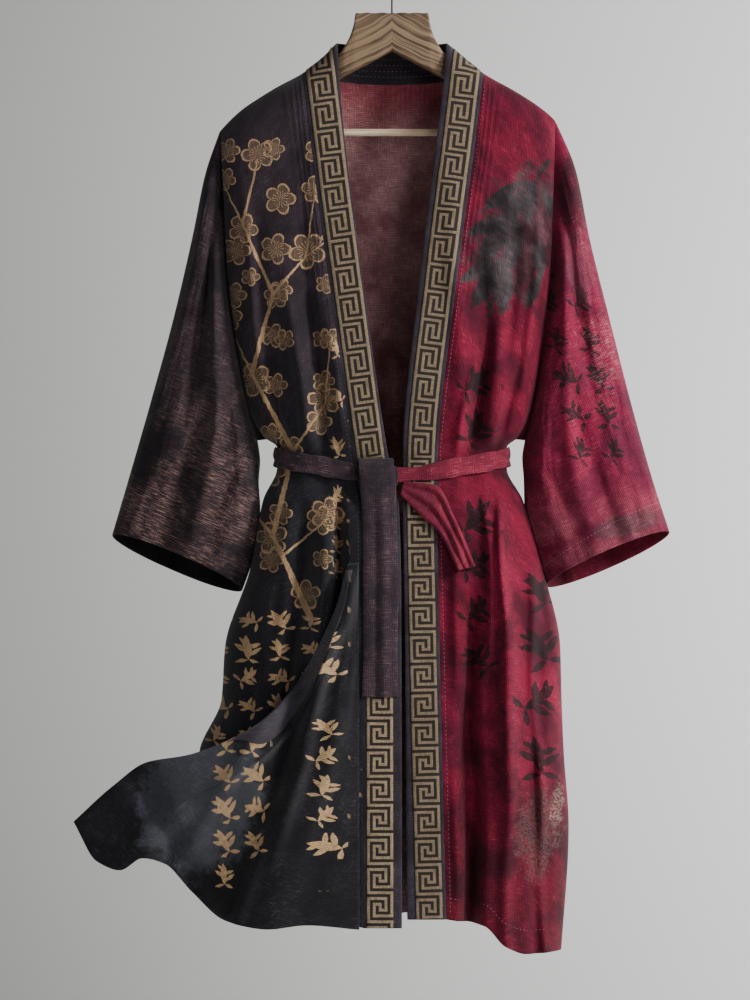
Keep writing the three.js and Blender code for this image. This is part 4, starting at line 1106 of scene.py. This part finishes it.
def linen(name, base, dark, pale, pitch=0.0025, sheen=0.15, slubs=0.5, paint=None):
    """Slubby linen: threads, slubs and patches over a base colour, with painted shade where the threads dip;
    paint lays prints and wear on top, and on some pieces painted sheen and shade
    """
    material, web, shader = new_finish(name)
    cloth = web.put("UVMap", uv_map="cloth")
    height, pale_threads, uneven, patches = web.use(WEAVE, cloth, pitch)
    ground = web.mix(web.span(patches, 0.36, 0.64), colour(dark), colour(base))
    if paint:
        ground = paint(web, web.place(), cloth, ground, height, patches)
    # Painted shade: colour darkened where the threads dip, together with random tone
    shade = web.times(web.fused(uneven, TONE, 1.0), web.span(height, 0.2, 0.65, 0.5, 1.08))
    ground = web.dye(web.shade(ground, shade), pale, pale_threads, slubs)
    web.wire(shader.inputs["Base Color"], ground)
    web.wire(shader.inputs["Roughness"], web.span(pale_threads, 0, 1, ROUGH, ROUGH - SLUB_SHINE))
    shader.inputs["Sheen Weight"].default_value = sheen
    shader.inputs["Sheen Roughness"].default_value = 0.45
    shader.inputs["Specular IOR Level"].default_value = 0.2
    raise_by(web, shader, BUMP, THREAD_RISE, height)
    return material


AUBERGINE = linen("aubergine_linen", "45353d", "2b2128", "957876", slubs=0.34)
WORN_AUBERGINE = linen("worn_aubergine_linen", "352930", "1f181e", "8d7070", slubs=0.34, paint=cuff_wear)
NAVY = linen("navy_linen", "3a2d36", "261d24", "6f6670", slubs=0.18, paint=dusk)
FLAP_NAVY = linen("flap_navy_linen", "1d1c22", "101014", "6f6e76", slubs=0.2, paint=flap_print)
CRIMSON = linen("crimson_linen", "861330", "680e25", "b05064", sheen=0.05, slubs=0.22)
INKED_CRIMSON = linen(
    "inked_crimson_linen", "801333", "480a1f", "b05064", sheen=0.04, slubs=0.22, paint=ink_print)
SLEEVE_CRIMSON = linen(
    "sleeve_crimson_linen", "881b3c", "601530", "bb5f70", sheen=0.06, slubs=0.32, paint=sleeve_ink)
BELT_CRIMSON = linen("belt_crimson_linen", "8c2940", "5c162b", "bb6c76", sheen=0.08, slubs=0.35)
ROSE = linen("rose_inner_linen_painted_shade", "c08c8c", "8e5c60", "d0a5a2", slubs=0.35, paint=inside_marks_and_painted_shade)
SLATE = linen("slate_linen", "3d3640", "2a242b", "74686f", pitch=0.0014, slubs=0.25)
BINDING = linen("binding_linen", "463f48", "302b34", "7d727a", pitch=0.0014, sheen=0.2, slubs=0.3)
DARK_LINING = linen("dark_inner_linen", "1c171c", "100d10", "3a3238", slubs=0.2)
WINE = linen("wine_inner_linen", "74122c", "4a0a1a", "96404e", slubs=0.2)

# Bars of the key pattern in cells: left, right, top and bottom
MEANDER = (
    (0, 9, 0, 1), (8, 9, 0, 9), (2, 9, 8, 9), (2, 3, 4, 9), (2, 5, 4, 5),
    (4, 5, 4, 7), (4, 7, 6, 7), (6, 7, 2, 7), (0, 7, 2, 3), (0, 1, 2, 10),
)
BORDERED_KEY = (
    (0, 1, -1, 11), (8, 9, -1, 11), (0, 7, 0, 1), (6, 7, 0, 7), (4, 7, 6, 7),
    (4, 5, 2, 7), (2, 5, 2, 3), (2, 3, 2, 9), (2, 9, 8, 9),
)


def key_group(name, bars):
    """Mask of a set of bars: the greatest of each one's least distance to its four sides"""
    def build(web, column, row):
        inside = -1.0
        for left, right, top, bottom in bars:
            wide = web.least(web.minus(column, left), web.minus(right, column))
            tall = web.least(web.minus(row, top), web.minus(bottom, row))
            inside = web.most(inside, web.least(wide, tall))
        return [web.span(inside, -0.06, 0.1)]
    return node_group(name, (("Column", FLOAT), ("Row", FLOAT)), MASK, build)


def key_ribbon():
    """Woven ribbon: tan key pattern on dark brown, bordered above the belt and a plain meander below"""
    material, web, shader = new_finish("key_ribbon")
    cells = web.put("UVMap", uv_map="cloth")
    wobble = web.put("TexNoise", {"Vector": cells, "Scale": 1.7, "Detail": 2.0}, out=1)
    bent = web.vector("MULTIPLY_ADD", wobble, (0.16, 0.16, 0), cells)
    column, row, _ = web.split(web.vector("SUBTRACT", bent, (0.08, 0.08, 0)))
    row = web.math("FLOORED_MODULO", row, float(KEY_ROWS))
    lower = web.use(key_group("meander", MEANDER), column, row)[0]
    upper = web.use(key_group("bordered_key", BORDERED_KEY), column, row)[0]
    x, _, z = web.split(web.place())
    above = web.span(z, -BELT_DROP * MM - 0.001, -BELT_DROP * MM + 0.001)
    mask = web.put("Mix", {0: above, 2: lower, 3: upper}, data_type="FLOAT")
    height, _, uneven, patches = web.use(WEAVE, web.stretch(cells, (0.004, 0.004, 0)), 0.0011)
    tan = web.mix(web.span(uneven, -0.3, 0.3), colour("7c6b55"), colour("a8957a"))
    tan = web.dye(tan, "4a3d33", web.most(web.times(above, 0.26), web.span(x, 0.02, 0.03, 0.0, 0.36)))
    brown = web.mix(patches, colour("201917"), colour("342a26"))
    # Painted shade: the pattern darkened where the threads dip
    thread_shaded_weave = web.shade(web.mix(mask, brown, tan), web.span(height, 0.2, 0.8, 0.72, 1.05))
    web.wire(shader.inputs["Base Color"], thread_shaded_weave)
    shader.inputs["Roughness"].default_value = 0.8
    shader.inputs["Specular IOR Level"].default_value = 0.25
    raise_by(web, shader, 0.6, 0.0006, web.fused(mask, 0.8, web.times(height, 0.6)))
    return material


def hanger_wood(name, chevron, light="8f7558", dark_grain="433020"):
    """Oiled open-grain wood: bent grain lines that rise to the mitre, or run along the dowel"""
    material, web, shader = new_finish(name)
    place = web.place()
    x, y, z = web.split(place)
    if chevron:
        rising = web.math("ADD", z, web.times(web.math("POWER", web.size(x), 0.8), 0.3))
        bend = web.fused(web.noise(web.stretch(place, (18, 10, 26))), 0.012, rising)
        along, deep, across = web.times(x, 6.0), web.times(y, 30.0), web.times(bend, 240.0)
        grain_place = web.put("CombineXYZ", {0: along, 1: deep, 2: across})
    else:
        grain_place = web.stretch(place, (9, 320, 320))
    broad = web.noise(grain_place, 1.0, 3.0, 0.6)
    fine = web.noise(grain_place, 3.7, 3.0, 0.7)
    dark = web.span(broad, 0.42, 0.6)
    wood = web.mix(dark, colour(light), colour(dark_grain))
    wood = web.dye(wood, dark_grain, web.span(fine, 0.5, 0.75, 0.0, 0.7))
    wood = web.dye(wood, light, web.span(web.noise(place, 30.0), 0.3, 0.7, 0.0, 0.35))
    web.wire(shader.inputs["Base Color"], wood)
    web.wire(shader.inputs["Roughness"], web.span(dark, 0, 1, 0.55, 0.75))
    raise_by(web, shader, 0.7, 0.0014, web.fused(broad, -1.0, web.times(fine, -0.5)))
    return material


def hook_wire():
    """Dark drawn wire with faint lengthwise scratches"""
    material, web, shader = new_finish("hook_wire")
    marks = web.noise(web.stretch(web.place(), (900, 900, 60)), 1.0, 3.0)
    web.wire(shader.inputs["Base Color"], web.mix(marks, colour("1d1a18"), colour("4a423b")))
    web.wire(shader.inputs["Roughness"], web.span(marks, 0.3, 0.7, 0.32, 0.55))
    shader.inputs["Metallic"].default_value = 0.85
    return material


def sewing_thread(name, code, shadow):
    """Twisted thread: fine slanting ply lines"""
    material, web, shader = new_finish(name)
    ply = web.noise(web.stretch(web.place(), (2600, 2600, 1900)), 1.0, 1.0)
    web.wire(shader.inputs["Base Color"], web.mix(ply, colour(shadow), colour(code)))
    shader.inputs["Roughness"].default_value = 0.7
    raise_by(web, shader, 0.5, 0.0002, ply)
    return material


KEY_RIBBON = key_ribbon()
BLOCK_WOOD = hanger_wood("hanger_wood", True)
# Painted light: the dowel is a much paler copy of the hanger's wood, standing in for light it lacks in the
# shade of the cloth
DOWEL_WOOD_PAINTED_LIGHT = hanger_wood("dowel_wood_painted_light", False, "f0dcc0", "b89a78")
HOOK_WIRE = hook_wire()
PINK_THREAD = sewing_thread("pink_thread", "b07a90", "6d4458")
DARK_THREAD = sewing_thread("dark_thread", "5c5064", "2c2632")

FRONT_GRID = (108, 300)
BACK_GRID = (110, 300)
SLEEVE_GRID = (200, 130)
NECK_GRID = (90, 14)
BAND_GRID = (14, 420)
RIBBON_GRID = (9, 420)
FLAP_GRID = (110, 120)
BINDING_GRID = (8, 160)
BELT_GRID = (150, 12)
LONG_TAIL_GRID = (30, 130)
SHORT_TAIL_GRID = (60, 60)

# Thicknesses of the walls that are thicker or thinner than the panels' cloth
BAND_CLOTH = 2.0
BELT_CLOTH = 1.8
SHORT_TAIL_CLOTH = 1.3
BINDING_CLOTH = 0.8

FRONTWARD = (0, -1, 0)
BACKWARD = (0, 1, 0)


def dress(piece, node, finishes):
    """Gives a piece its finishes and its body, and hides the part of the node it stands for"""
    for finish in finishes:
        piece.data.materials.append(finish)
    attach(piece, "root")
    if node:
        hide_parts(node)


def run_along(path):
    """Distance along a path of points"""
    return np.concatenate([[0], np.cumsum(np.linalg.norm(np.diff(path, axis=0), axis=-1))])


def band_uv(points):
    """Distance from the band's seam and along it, in millimetres"""
    seam = points[0]
    way = unit(np.gradient(seam, axis=0))
    flat = unit(np.cross(way, BACKWARD))
    away = points - seam
    across = np.abs(np.einsum("ijk,jk->ij", away, flat))
    return np.stack([across, run_along(seam) + np.einsum("ijk,jk->ij", away, way)], axis=-1)


# Cosine and sine of the slant of a sleeve's weave
SLANT = (0.91, 0.41)


def slanted_uv(left, points):
    """Weave of a sleeve: its front view turned so that one thread runs along the cuff's edge"""
    closed = np.concatenate([points, points[:1]])
    x, drop = closed[..., 0] * (1 if left else -1), -closed[..., 2]
    return np.stack([SLANT[0] * x + SLANT[1] * drop, SLANT[0] * drop - SLANT[1] * x], axis=-1) * MM


# Drops at which a row of the pattern starts above and below the belt, and a row number above all used
KEY_STARTS = {True: (404.7, 1071.7), False: (170, 1073.5)}
KEY_CELL_ABOVE = 3.95
KEY_ROW_SHIFT = 400


def key_uv(left, points):
    """Place on the ribbon in cells, its rows counted from one start above and one below the belt"""
    uv = band_uv(points)
    middle = len(points) // 2
    drops = -points[middle, :, 2]
    above, below = (np.interp(start, drops, uv[middle, :, 1]) for start in KEY_STARTS[left])
    over_belt = points[..., 2] > -BELT_DROP
    row = np.where(over_belt, (uv[..., 1] - above) / KEY_CELL_ABOVE, (uv[..., 1] - below) / KEY_CELL)
    column = np.linspace(0, KEY_COLUMNS, len(points))[:, None] + 0 * row
    return np.stack([column if left else KEY_COLUMNS - column, row + KEY_ROW_SHIFT], axis=-1)


RIBBON_STAND = BAND_CLOTH / 2 + SEAM_GAP + TRIM / 2
BINDING_WIDTH = 12
BINDING_STAND = CLOTH / 2 + 0.5


def sleeve_outward(points):
    """Frontward on the first half of a sleeve's ring and backward on the second"""
    front_half = (np.arange(len(points)) < len(points) / 2)[:, None, None]
    return np.where(front_half, FRONTWARD, BACKWARD)


def waist_outward(points):
    """Level directions away from the body's middle"""
    return points * (1, 1, 0)


def binding_point(across, down):
    """Strip along the flap's free edge, which narrows to nothing down its last fifth"""
    along = 0.02 + 0.6 * down
    width = np.linalg.norm(flap_point(0 * along + 1, along) - flap_point(0 * along, along), axis=-1)
    strip = (1 - across) * np.minimum(0.9, BINDING_WIDTH / width) * ease(1, 0.8, down)
    return flap_point(1 - strip - 0.002, along)


def sew(name, node, make, size, finishes, thickness=CLOTH, offset=0.0,
        toward=FRONTWARD, ring=False, uv=None):
    """Piece of cloth on a surface: its wall, finishes and node"""
    points = grid(make, *size, ring=ring)
    toward, uv = (value(points) if callable(value) else value for value in (toward, uv))
    piece = shell(name, points, thickness, offset, ring, toward, uv)
    dress(piece, node, finishes)


for left, finishes, slot in ((True, (NAVY, DARK_LINING), "navy_linen"),
                             (False, (INKED_CRIMSON, WINE), "crimson_linen")):
    side = side_name(left)
    sew("front_panel_" + side, "front_" + side, partial(front_point, left), FRONT_GRID,
        finishes)

sew("back_panel", "back", back_point, BACK_GRID, (CRIMSON, ROSE),
    toward=BACKWARD)

for left, finishes, slot in ((True, (WORN_AUBERGINE, DARK_LINING), "aubergine_linen"),
                             (False, (SLEEVE_CRIMSON, WINE), "crimson_linen")):
    side = side_name(left)
    sew("sleeve_" + side + "_cloth", "sleeve_" + side, partial(sleeve_point, left), SLEEVE_GRID,
        finishes, toward=sleeve_outward, ring=True,
        uv=partial(slanted_uv, left))

sew("neck_band", "collar_back", neck_band_point, NECK_GRID, (SLATE, SLATE),
    BAND_CLOTH, toward=BACKWARD)

for left in (True, False):
    side = side_name(left)
    sew("front_band_" + side, "collar_" + side, partial(band_point, left), BAND_GRID,
        (SLATE, SLATE), BAND_CLOTH,
        uv=lambda points: band_uv(points) * MM)
    sew("woven_ribbon_" + side, "key_ribbon_" + side, partial(ribbon_point, left), RIBBON_GRID,
        (KEY_RIBBON, KEY_RIBBON), TRIM, RIBBON_STAND,
        uv=partial(key_uv, left))

sew("flying_flap", "skirt_flap", flap_point, FLAP_GRID, (FLAP_NAVY, FLAP_NAVY))
sew("flap_edge_binding", None, binding_point, BINDING_GRID, (BINDING, BINDING),
    BINDING_CLOTH, BINDING_STAND)

for left, start_x, finish, slot in ((True, -24, AUBERGINE, "aubergine_linen"),
                                    (False, 1, BELT_CRIMSON, "crimson_linen")):
    side = side_name(left)
    sew("belt_half_" + side, "belt_" + side, partial(belt_point, left, start_x), BELT_GRID,
        (finish, finish), BELT_CLOTH, BELT_STAND,
        toward=waist_outward)

sew("belt_tail_hanging", "belt_tail_long", long_tail_point, LONG_TAIL_GRID, (AUBERGINE, AUBERGINE),
    BELT_CLOTH)
sew("belt_tail_fan", "belt_tail_short", short_tail_point, SHORT_TAIL_GRID, (BELT_CRIMSON, WINE),
    SHORT_TAIL_CLOTH)


def tube(name, rings):
    """Closed tube through rings of points, its ends shut by fans round their middles"""
    count, sides = rings.shape[:2]
    places = np.concatenate([rings.reshape(-1, 3), rings[:1].mean(axis=1), rings[-1:].mean(axis=1)])
    index = np.arange(count * sides).reshape(count, sides)
    there = np.roll(index, -1, axis=1)
    walls = np.stack([index[:-1], there[:-1], there[1:], index[1:]], axis=-1).reshape(-1, 4)
    middle = np.full(sides, count * sides)
    start = np.stack([there[0], index[0], middle, middle], axis=-1)
    end = np.stack([index[-1], there[-1], middle + 1, middle + 1], axis=-1)
    return new_mesh(name, places, np.concatenate([walls, start, end]))


def round_turn(sides, start=0.0):
    """Angles of a ring's corners, the first a share of a step on"""
    return 2 * math.pi * (np.arange(sides) + start) / sides


def superellipse(sides, power):
    """Corners of a rounded square of half size one"""
    turn = round_turn(sides, 0.5)
    one, other = np.cos(turn), np.sin(turn)
    return np.sign(one) * np.abs(one) ** power, np.sign(other) * np.abs(other) ** power


KNOT_LOFT = (41, 64)
KNOT_END = 0.985


def knot_rings():
    """Knot: rings stacked down, their size a power-three dome, with a few pinched creases"""
    tall = np.linspace(-1, 1, KNOT_LOFT[0])[:, None]
    turn = round_turn(KNOT_LOFT[1])[None, :]
    size = (1 - np.abs(tall * KNOT_END) ** 3) ** (1 / 3)
    crease = 1 - 0.06 * bell((tall - 0.3 * np.cos(turn)) / 0.12)
    crease = crease - 0.05 * bell((tall + 0.45 + 0.2 * np.cos(turn)) / 0.1)
    y = float(body_y(-1, KNOT_X, KNOT_DROP)) - BELT_STAND - CAD_BELT / 2 - KNOT_HALF[1] - SEAM_GAP
    return point(
        KNOT_X + KNOT_HALF[0] * size * crease * np.cos(turn),
        y + KNOT_HALF[1] * size * crease * np.sin(turn),
        KNOT_DROP + KNOT_HALF[2] * tall + 0 * turn,
    )


# Sections of a hanger half: nearest the mitre, along the arm, at the step for the dowel and at the tip
HANGER_STATIONS = np.concatenate([[0.04], np.linspace(0.6, 213, 130), [213.6], np.linspace(215, 226, 8)])
HANGER_SIDES = 40
HANGER_CORNER = 0.28
CHIP = 0.5
CHIP_LENGTH = 3.1
CHIP_END = 60


def hanger_rings(out):
    """Half hanger: rounded oblong sections between its top and bottom edges, out along one arm"""
    x = HANGER_STATIONS
    one, other = superellipse(HANGER_SIDES, HANGER_CORNER)
    top, bottom, half = (read(HANGER, "x", column, x)[:, None] for column in ("top", "bottom", "half"))
    chipped = CHIP * np.sin(x / CHIP_LENGTH)[:, None] * (x < CHIP_END)[:, None]
    drop = lerp(top + chipped, bottom, (1 + one) / 2)
    return point(out * x[:, None] + 0 * one, half * other, drop)


HOOK_ARC = (-62, 200, 120)
HOOK_STEM_TOP = 58
HOOK_CORNER = (0, 0, -46)
HOOK_TIP = (0.97, 0.85, 0.5)
WIRE_SIDES = 14


def hook_rings():
    """Hook: a round section carried up the stem, round a small bend and most of a circle"""
    turn = np.radians(np.linspace(*HOOK_ARC))
    height = WIRE_RADIUS - HOOK_RADIUS + HOOK_RADIUS * np.sin(turn)
    arc = np.stack([HOOK_RADIUS * np.cos(turn), 0 * turn, height], axis=-1)
    rise = np.linspace(BLOCK_TOP_DROP - SEAM_GAP, HOOK_STEM_TOP, 12)
    stem = np.stack([0 * rise, 0 * rise, -rise], axis=-1)
    share = np.linspace(0, 1, 14)[1:-1, None]
    toward_corner = 2 * share * (1 - share) * np.array(HOOK_CORNER)
    bend = (1 - share) ** 2 * stem[-1] + toward_corner + share ** 2 * arc[0]
    path = np.concatenate([stem, bend, arc])
    way = unit(np.gradient(path, axis=0))
    side = np.array(BACKWARD)
    up = np.cross(way, side)
    turn = round_turn(WIRE_SIDES)
    tip = np.ones(len(path))
    tip[-len(HOOK_TIP):] = HOOK_TIP
    section = np.cos(turn)[None, :, None] * side + np.sin(turn)[None, :, None] * up[:, None, :]
    return path[:, None, :] + WIRE_RADIUS * tip[:, None, None] * section


BAR_SIDES = 32
BAR_ROUNDING = (0, 0.3, 1.0, 2.0)


def bar_rings():
    """Dowel: a round section along X with softly rounded ends"""
    x = np.concatenate([BAR_ROUNDING, np.linspace(4, 2 * BAR_HALF_LENGTH - 4, 60)])
    x = np.concatenate([x, 2 * BAR_HALF_LENGTH - x[3::-1]]) - BAR_HALF_LENGTH
    near = np.clip((BAR_HALF_LENGTH - np.abs(x)) / BAR_ROUNDING[-1], 0, 1)
    radius = (BAR_RADIUS * (1 - 0.25 * (1 - near) ** 2))[:, None]
    turn = round_turn(BAR_SIDES)
    return point(x[:, None] + 0 * turn, radius * np.cos(turn), BAR_DROP + radius * np.sin(turn))


for name, rings, node, finish, slot in (
        ("belt_wrap", knot_rings(), "belt_knot", AUBERGINE, "aubergine_linen"),
        ("hanger_arm_left", hanger_rings(-1), "hanger_left", BLOCK_WOOD, "hanger_wood"),
        ("hanger_arm_right", hanger_rings(1), "hanger_right", BLOCK_WOOD, "hanger_wood"),
        ("hanger_dowel", bar_rings(), "hanger_bar", DOWEL_WOOD_PAINTED_LIGHT, "hanger_wood"),
        ("hanger_wire_hook", hook_rings(), "hanger_hook", HOOK_WIRE, "hook_wire")):
    dress(tube(name, rings), node, (finish,))

STITCH_LENGTH = 3.4
STITCH_GAP = 2.6
STITCH_RADIUS = 0.4
STITCH_RINGS = 5
STITCH_SIDES = 6


def lifted(points, away, height):
    """Path moved off the cloth along a direction, with that direction at each point"""
    away = unit(np.broadcast_to(np.asarray(away, float), points.shape))
    return points + away * height, away


def stitches(name, paths, finish):
    """Rows of stitches: each is a tapered six-sided bar along its path, sunk a little in the cloth"""
    places, faces, total = [], [], 0
    for path, lift in paths:
        run = run_along(path)
        starts = np.arange(0, run[-1] - STITCH_LENGTH, STITCH_LENGTH + STITCH_GAP)
        share = np.linspace(0, 1, STITCH_RINGS)
        at = starts[:, None] + STITCH_LENGTH * share
        line_at, up = (
            np.stack([np.interp(at, run, values[:, k]) for k in range(3)], axis=-1)
            for values in (path, lift)
        )
        side = unit(np.cross(unit(np.gradient(line_at, axis=1)), up))
        bulge = np.sin(math.pi * share)[None, :, None]
        thick = STITCH_RADIUS * (0.25 + 0.75 * bulge)[..., None]
        turn = round_turn(STITCH_SIDES)[None, None, :, None]
        ring = thick * (np.cos(turn) * side[:, :, None] + np.sin(turn) * up[:, :, None])
        raised = line_at + up * 0.35 * STITCH_RADIUS * bulge
        places.append((raised[:, :, None] + ring).reshape(-1, 3))
        count = len(starts) * STITCH_RINGS * STITCH_SIDES
        index = total + np.arange(count).reshape(-1, STITCH_RINGS, STITCH_SIDES)
        there = np.roll(index, -1, axis=2)
        walls = np.stack([index[:, :-1], there[:, :-1], there[:, 1:], index[:, 1:]], axis=-1)
        faces.append(walls.reshape(-1, 4))
        for cap in (index[:, 0, ::-1], index[:, -1]):
            faces += [cap[:, [0, 1, 2, 3]], cap[:, [0, 3, 4, 5]]]
        total += count
    dress(new_mesh(name, np.concatenate(places), np.concatenate(faces)), None, (finish,))


# Rows of stitches, as shares of the way across or down a piece
NECK_ROWS = (0.35, 0.5, 0.65, 0.8)
NECK_STITCH_HEIGHT = 1.0
SEAM_ROW = 1 - 0.022
HEM_ROW = 0.975
CUFF_ROW = 0.925
CUFF_SPREAD = 0.15

even = np.linspace(0, 1, 400)
inset = 0.02 + 0.96 * even
neck_paths = [neck_band_point(0.04 + 0.92 * even, 0 * even + row) for row in NECK_ROWS]
neck_rows = [lifted(path, FRONTWARD, NECK_STITCH_HEIGHT) for path in neck_paths]
stitches("neck_band_stitches", neck_rows, PINK_THREAD)
for left, finish, slot in ((True, DARK_THREAD, "aubergine_linen"), (False, PINK_THREAD, "crimson_linen")):
    side = side_name(left)
    seam_path = front_point(left, SEAM_ROW + 0 * even, 0.004 + 0.99 * even)
    hem_path = front_point(left, inset, HEM_ROW + 0 * even)
    front_rows = [lifted(path, FRONTWARD, CLOTH / 2) for path in (seam_path, hem_path)]
    stitches("front_stitches_" + side, front_rows, finish)
    cuff = sleeve_point(left, even, CUFF_ROW + 0 * even)
    outward = cuff * (CUFF_SPREAD, 1, 0) - cuff.mean(axis=0) * (CUFF_SPREAD, 0, 0)
    stitches("cuff_stitches_" + side, [lifted(cuff, outward, CLOTH / 2)], finish)
hem_path = back_point(inset, HEM_ROW + 0 * even)
stitches("back_stitches", [lifted(hem_path, BACKWARD, CLOTH / 2)], PINK_THREAD)

# Lights of the studio: place, target, size, power and tint
LIGHTS = {
    "key": ((2.9, -1.9, 0.9), (0, 0, -0.75), 1.0, 150, (1.0, 0.985, 0.96)),
    "fill": ((1.5, -3.3, 0.3), (0, 0, -0.7), 1.1, 30, (0.95, 0.97, 1.0)),
    "wall_wash": ((2.4, 0.1, -0.5), (0.7, 1.5, -0.75), 1.2, 42, (1, 1, 1)),
}
WORLD_COLOUR = (0.82, 0.84, 0.85, 1)
WORLD_STRENGTH = 0.24
FLOOR_COLOUR = (0.72, 0.725, 0.72, 1)
# Painted light on the wall: its colour runs from dim to bright, brightest to the right and at the middle
# height
WALL_PAINTED_DIM = (0.42, 0.43, 0.405, 1)
WALL_PAINTED_BRIGHT = (0.93, 0.935, 0.945, 1)
WALL_MIDDLE = 0.75
STUDIO_ROUGH = 0.95
FLOOR_Z = -1.75
WALL_Y = 1.5
WALL_TOP = 5
REACH = 9.0


def area_light(name, place, target, size, power, tint):
    data = bpy.data.lights.new(name, "AREA")
    data.size = size
    data.energy = power
    data.color = tint
    light = bpy.data.objects.new(name, data)
    light.location = place
    light.rotation_euler = (Vector(target) - Vector(place)).to_track_quat("-Z", "Y").to_euler()
    bpy.context.scene.collection.objects.link(light)


def wall_finish():
    """Wall with painted light: brighter to the right and at the middle height, and clear from behind"""
    material, web, shader = new_finish("studio_wall")
    x, _, z = web.split(web.place())
    low = web.size(web.math("ADD", z, WALL_MIDDLE))
    painted_glow = web.fused(web.span(low, 0.0, 1.4), -0.25, web.span(x, -1.5, 1.3))
    web.wire(shader.inputs["Base Color"], web.mix(painted_glow, WALL_PAINTED_DIM, WALL_PAINTED_BRIGHT))
    shader.inputs["Roughness"].default_value = STUDIO_ROUGH
    clear = web.put("BsdfTransparent")
    behind = web.put("NewGeometry", out=6)
    shown = web.put("MixShader", {0: behind, 1: shader.outputs[0], 2: clear})
    web.wire(material.node_tree.nodes["Material Output"].inputs["Surface"], shown)
    return material


def studio():
    """Pale floor and wall, a broad key from the upper right, a weak fill and a wash on the wall"""
    world = bpy.data.worlds.new("studio")
    bpy.context.scene.world = world
    world.use_nodes = True
    world.node_tree.nodes["Background"].inputs["Color"].default_value = WORLD_COLOUR
    world.node_tree.nodes["Background"].inputs["Strength"].default_value = WORLD_STRENGTH
    for name, values in LIGHTS.items():
        area_light(name, *values)
    floor, _, shader = new_finish("studio_floor")
    shader.inputs["Base Color"].default_value = FLOOR_COLOUR
    shader.inputs["Roughness"].default_value = STUDIO_ROUGH
    corners = ((-1, -1), (1, -1), (1, 1), (-1, 1))
    ground = [(REACH * x, REACH * y, FLOOR_Z) for x, y in corners]
    wall = [(REACH * x, WALL_Y, WALL_TOP if y > 0 else FLOOR_Z) for x, y in corners]
    for name, quad, finish in (("studio_floor", ground, floor), ("studio_wall", wall, wall_finish())):
        mesh = bpy.data.meshes.new(name)
        mesh.from_pydata(quad, [], [(0, 1, 2, 3)])
        mesh.materials.append(finish)
        plane = bpy.data.objects.new(name, mesh)
        bpy.context.scene.collection.objects.link(plane)


studio()
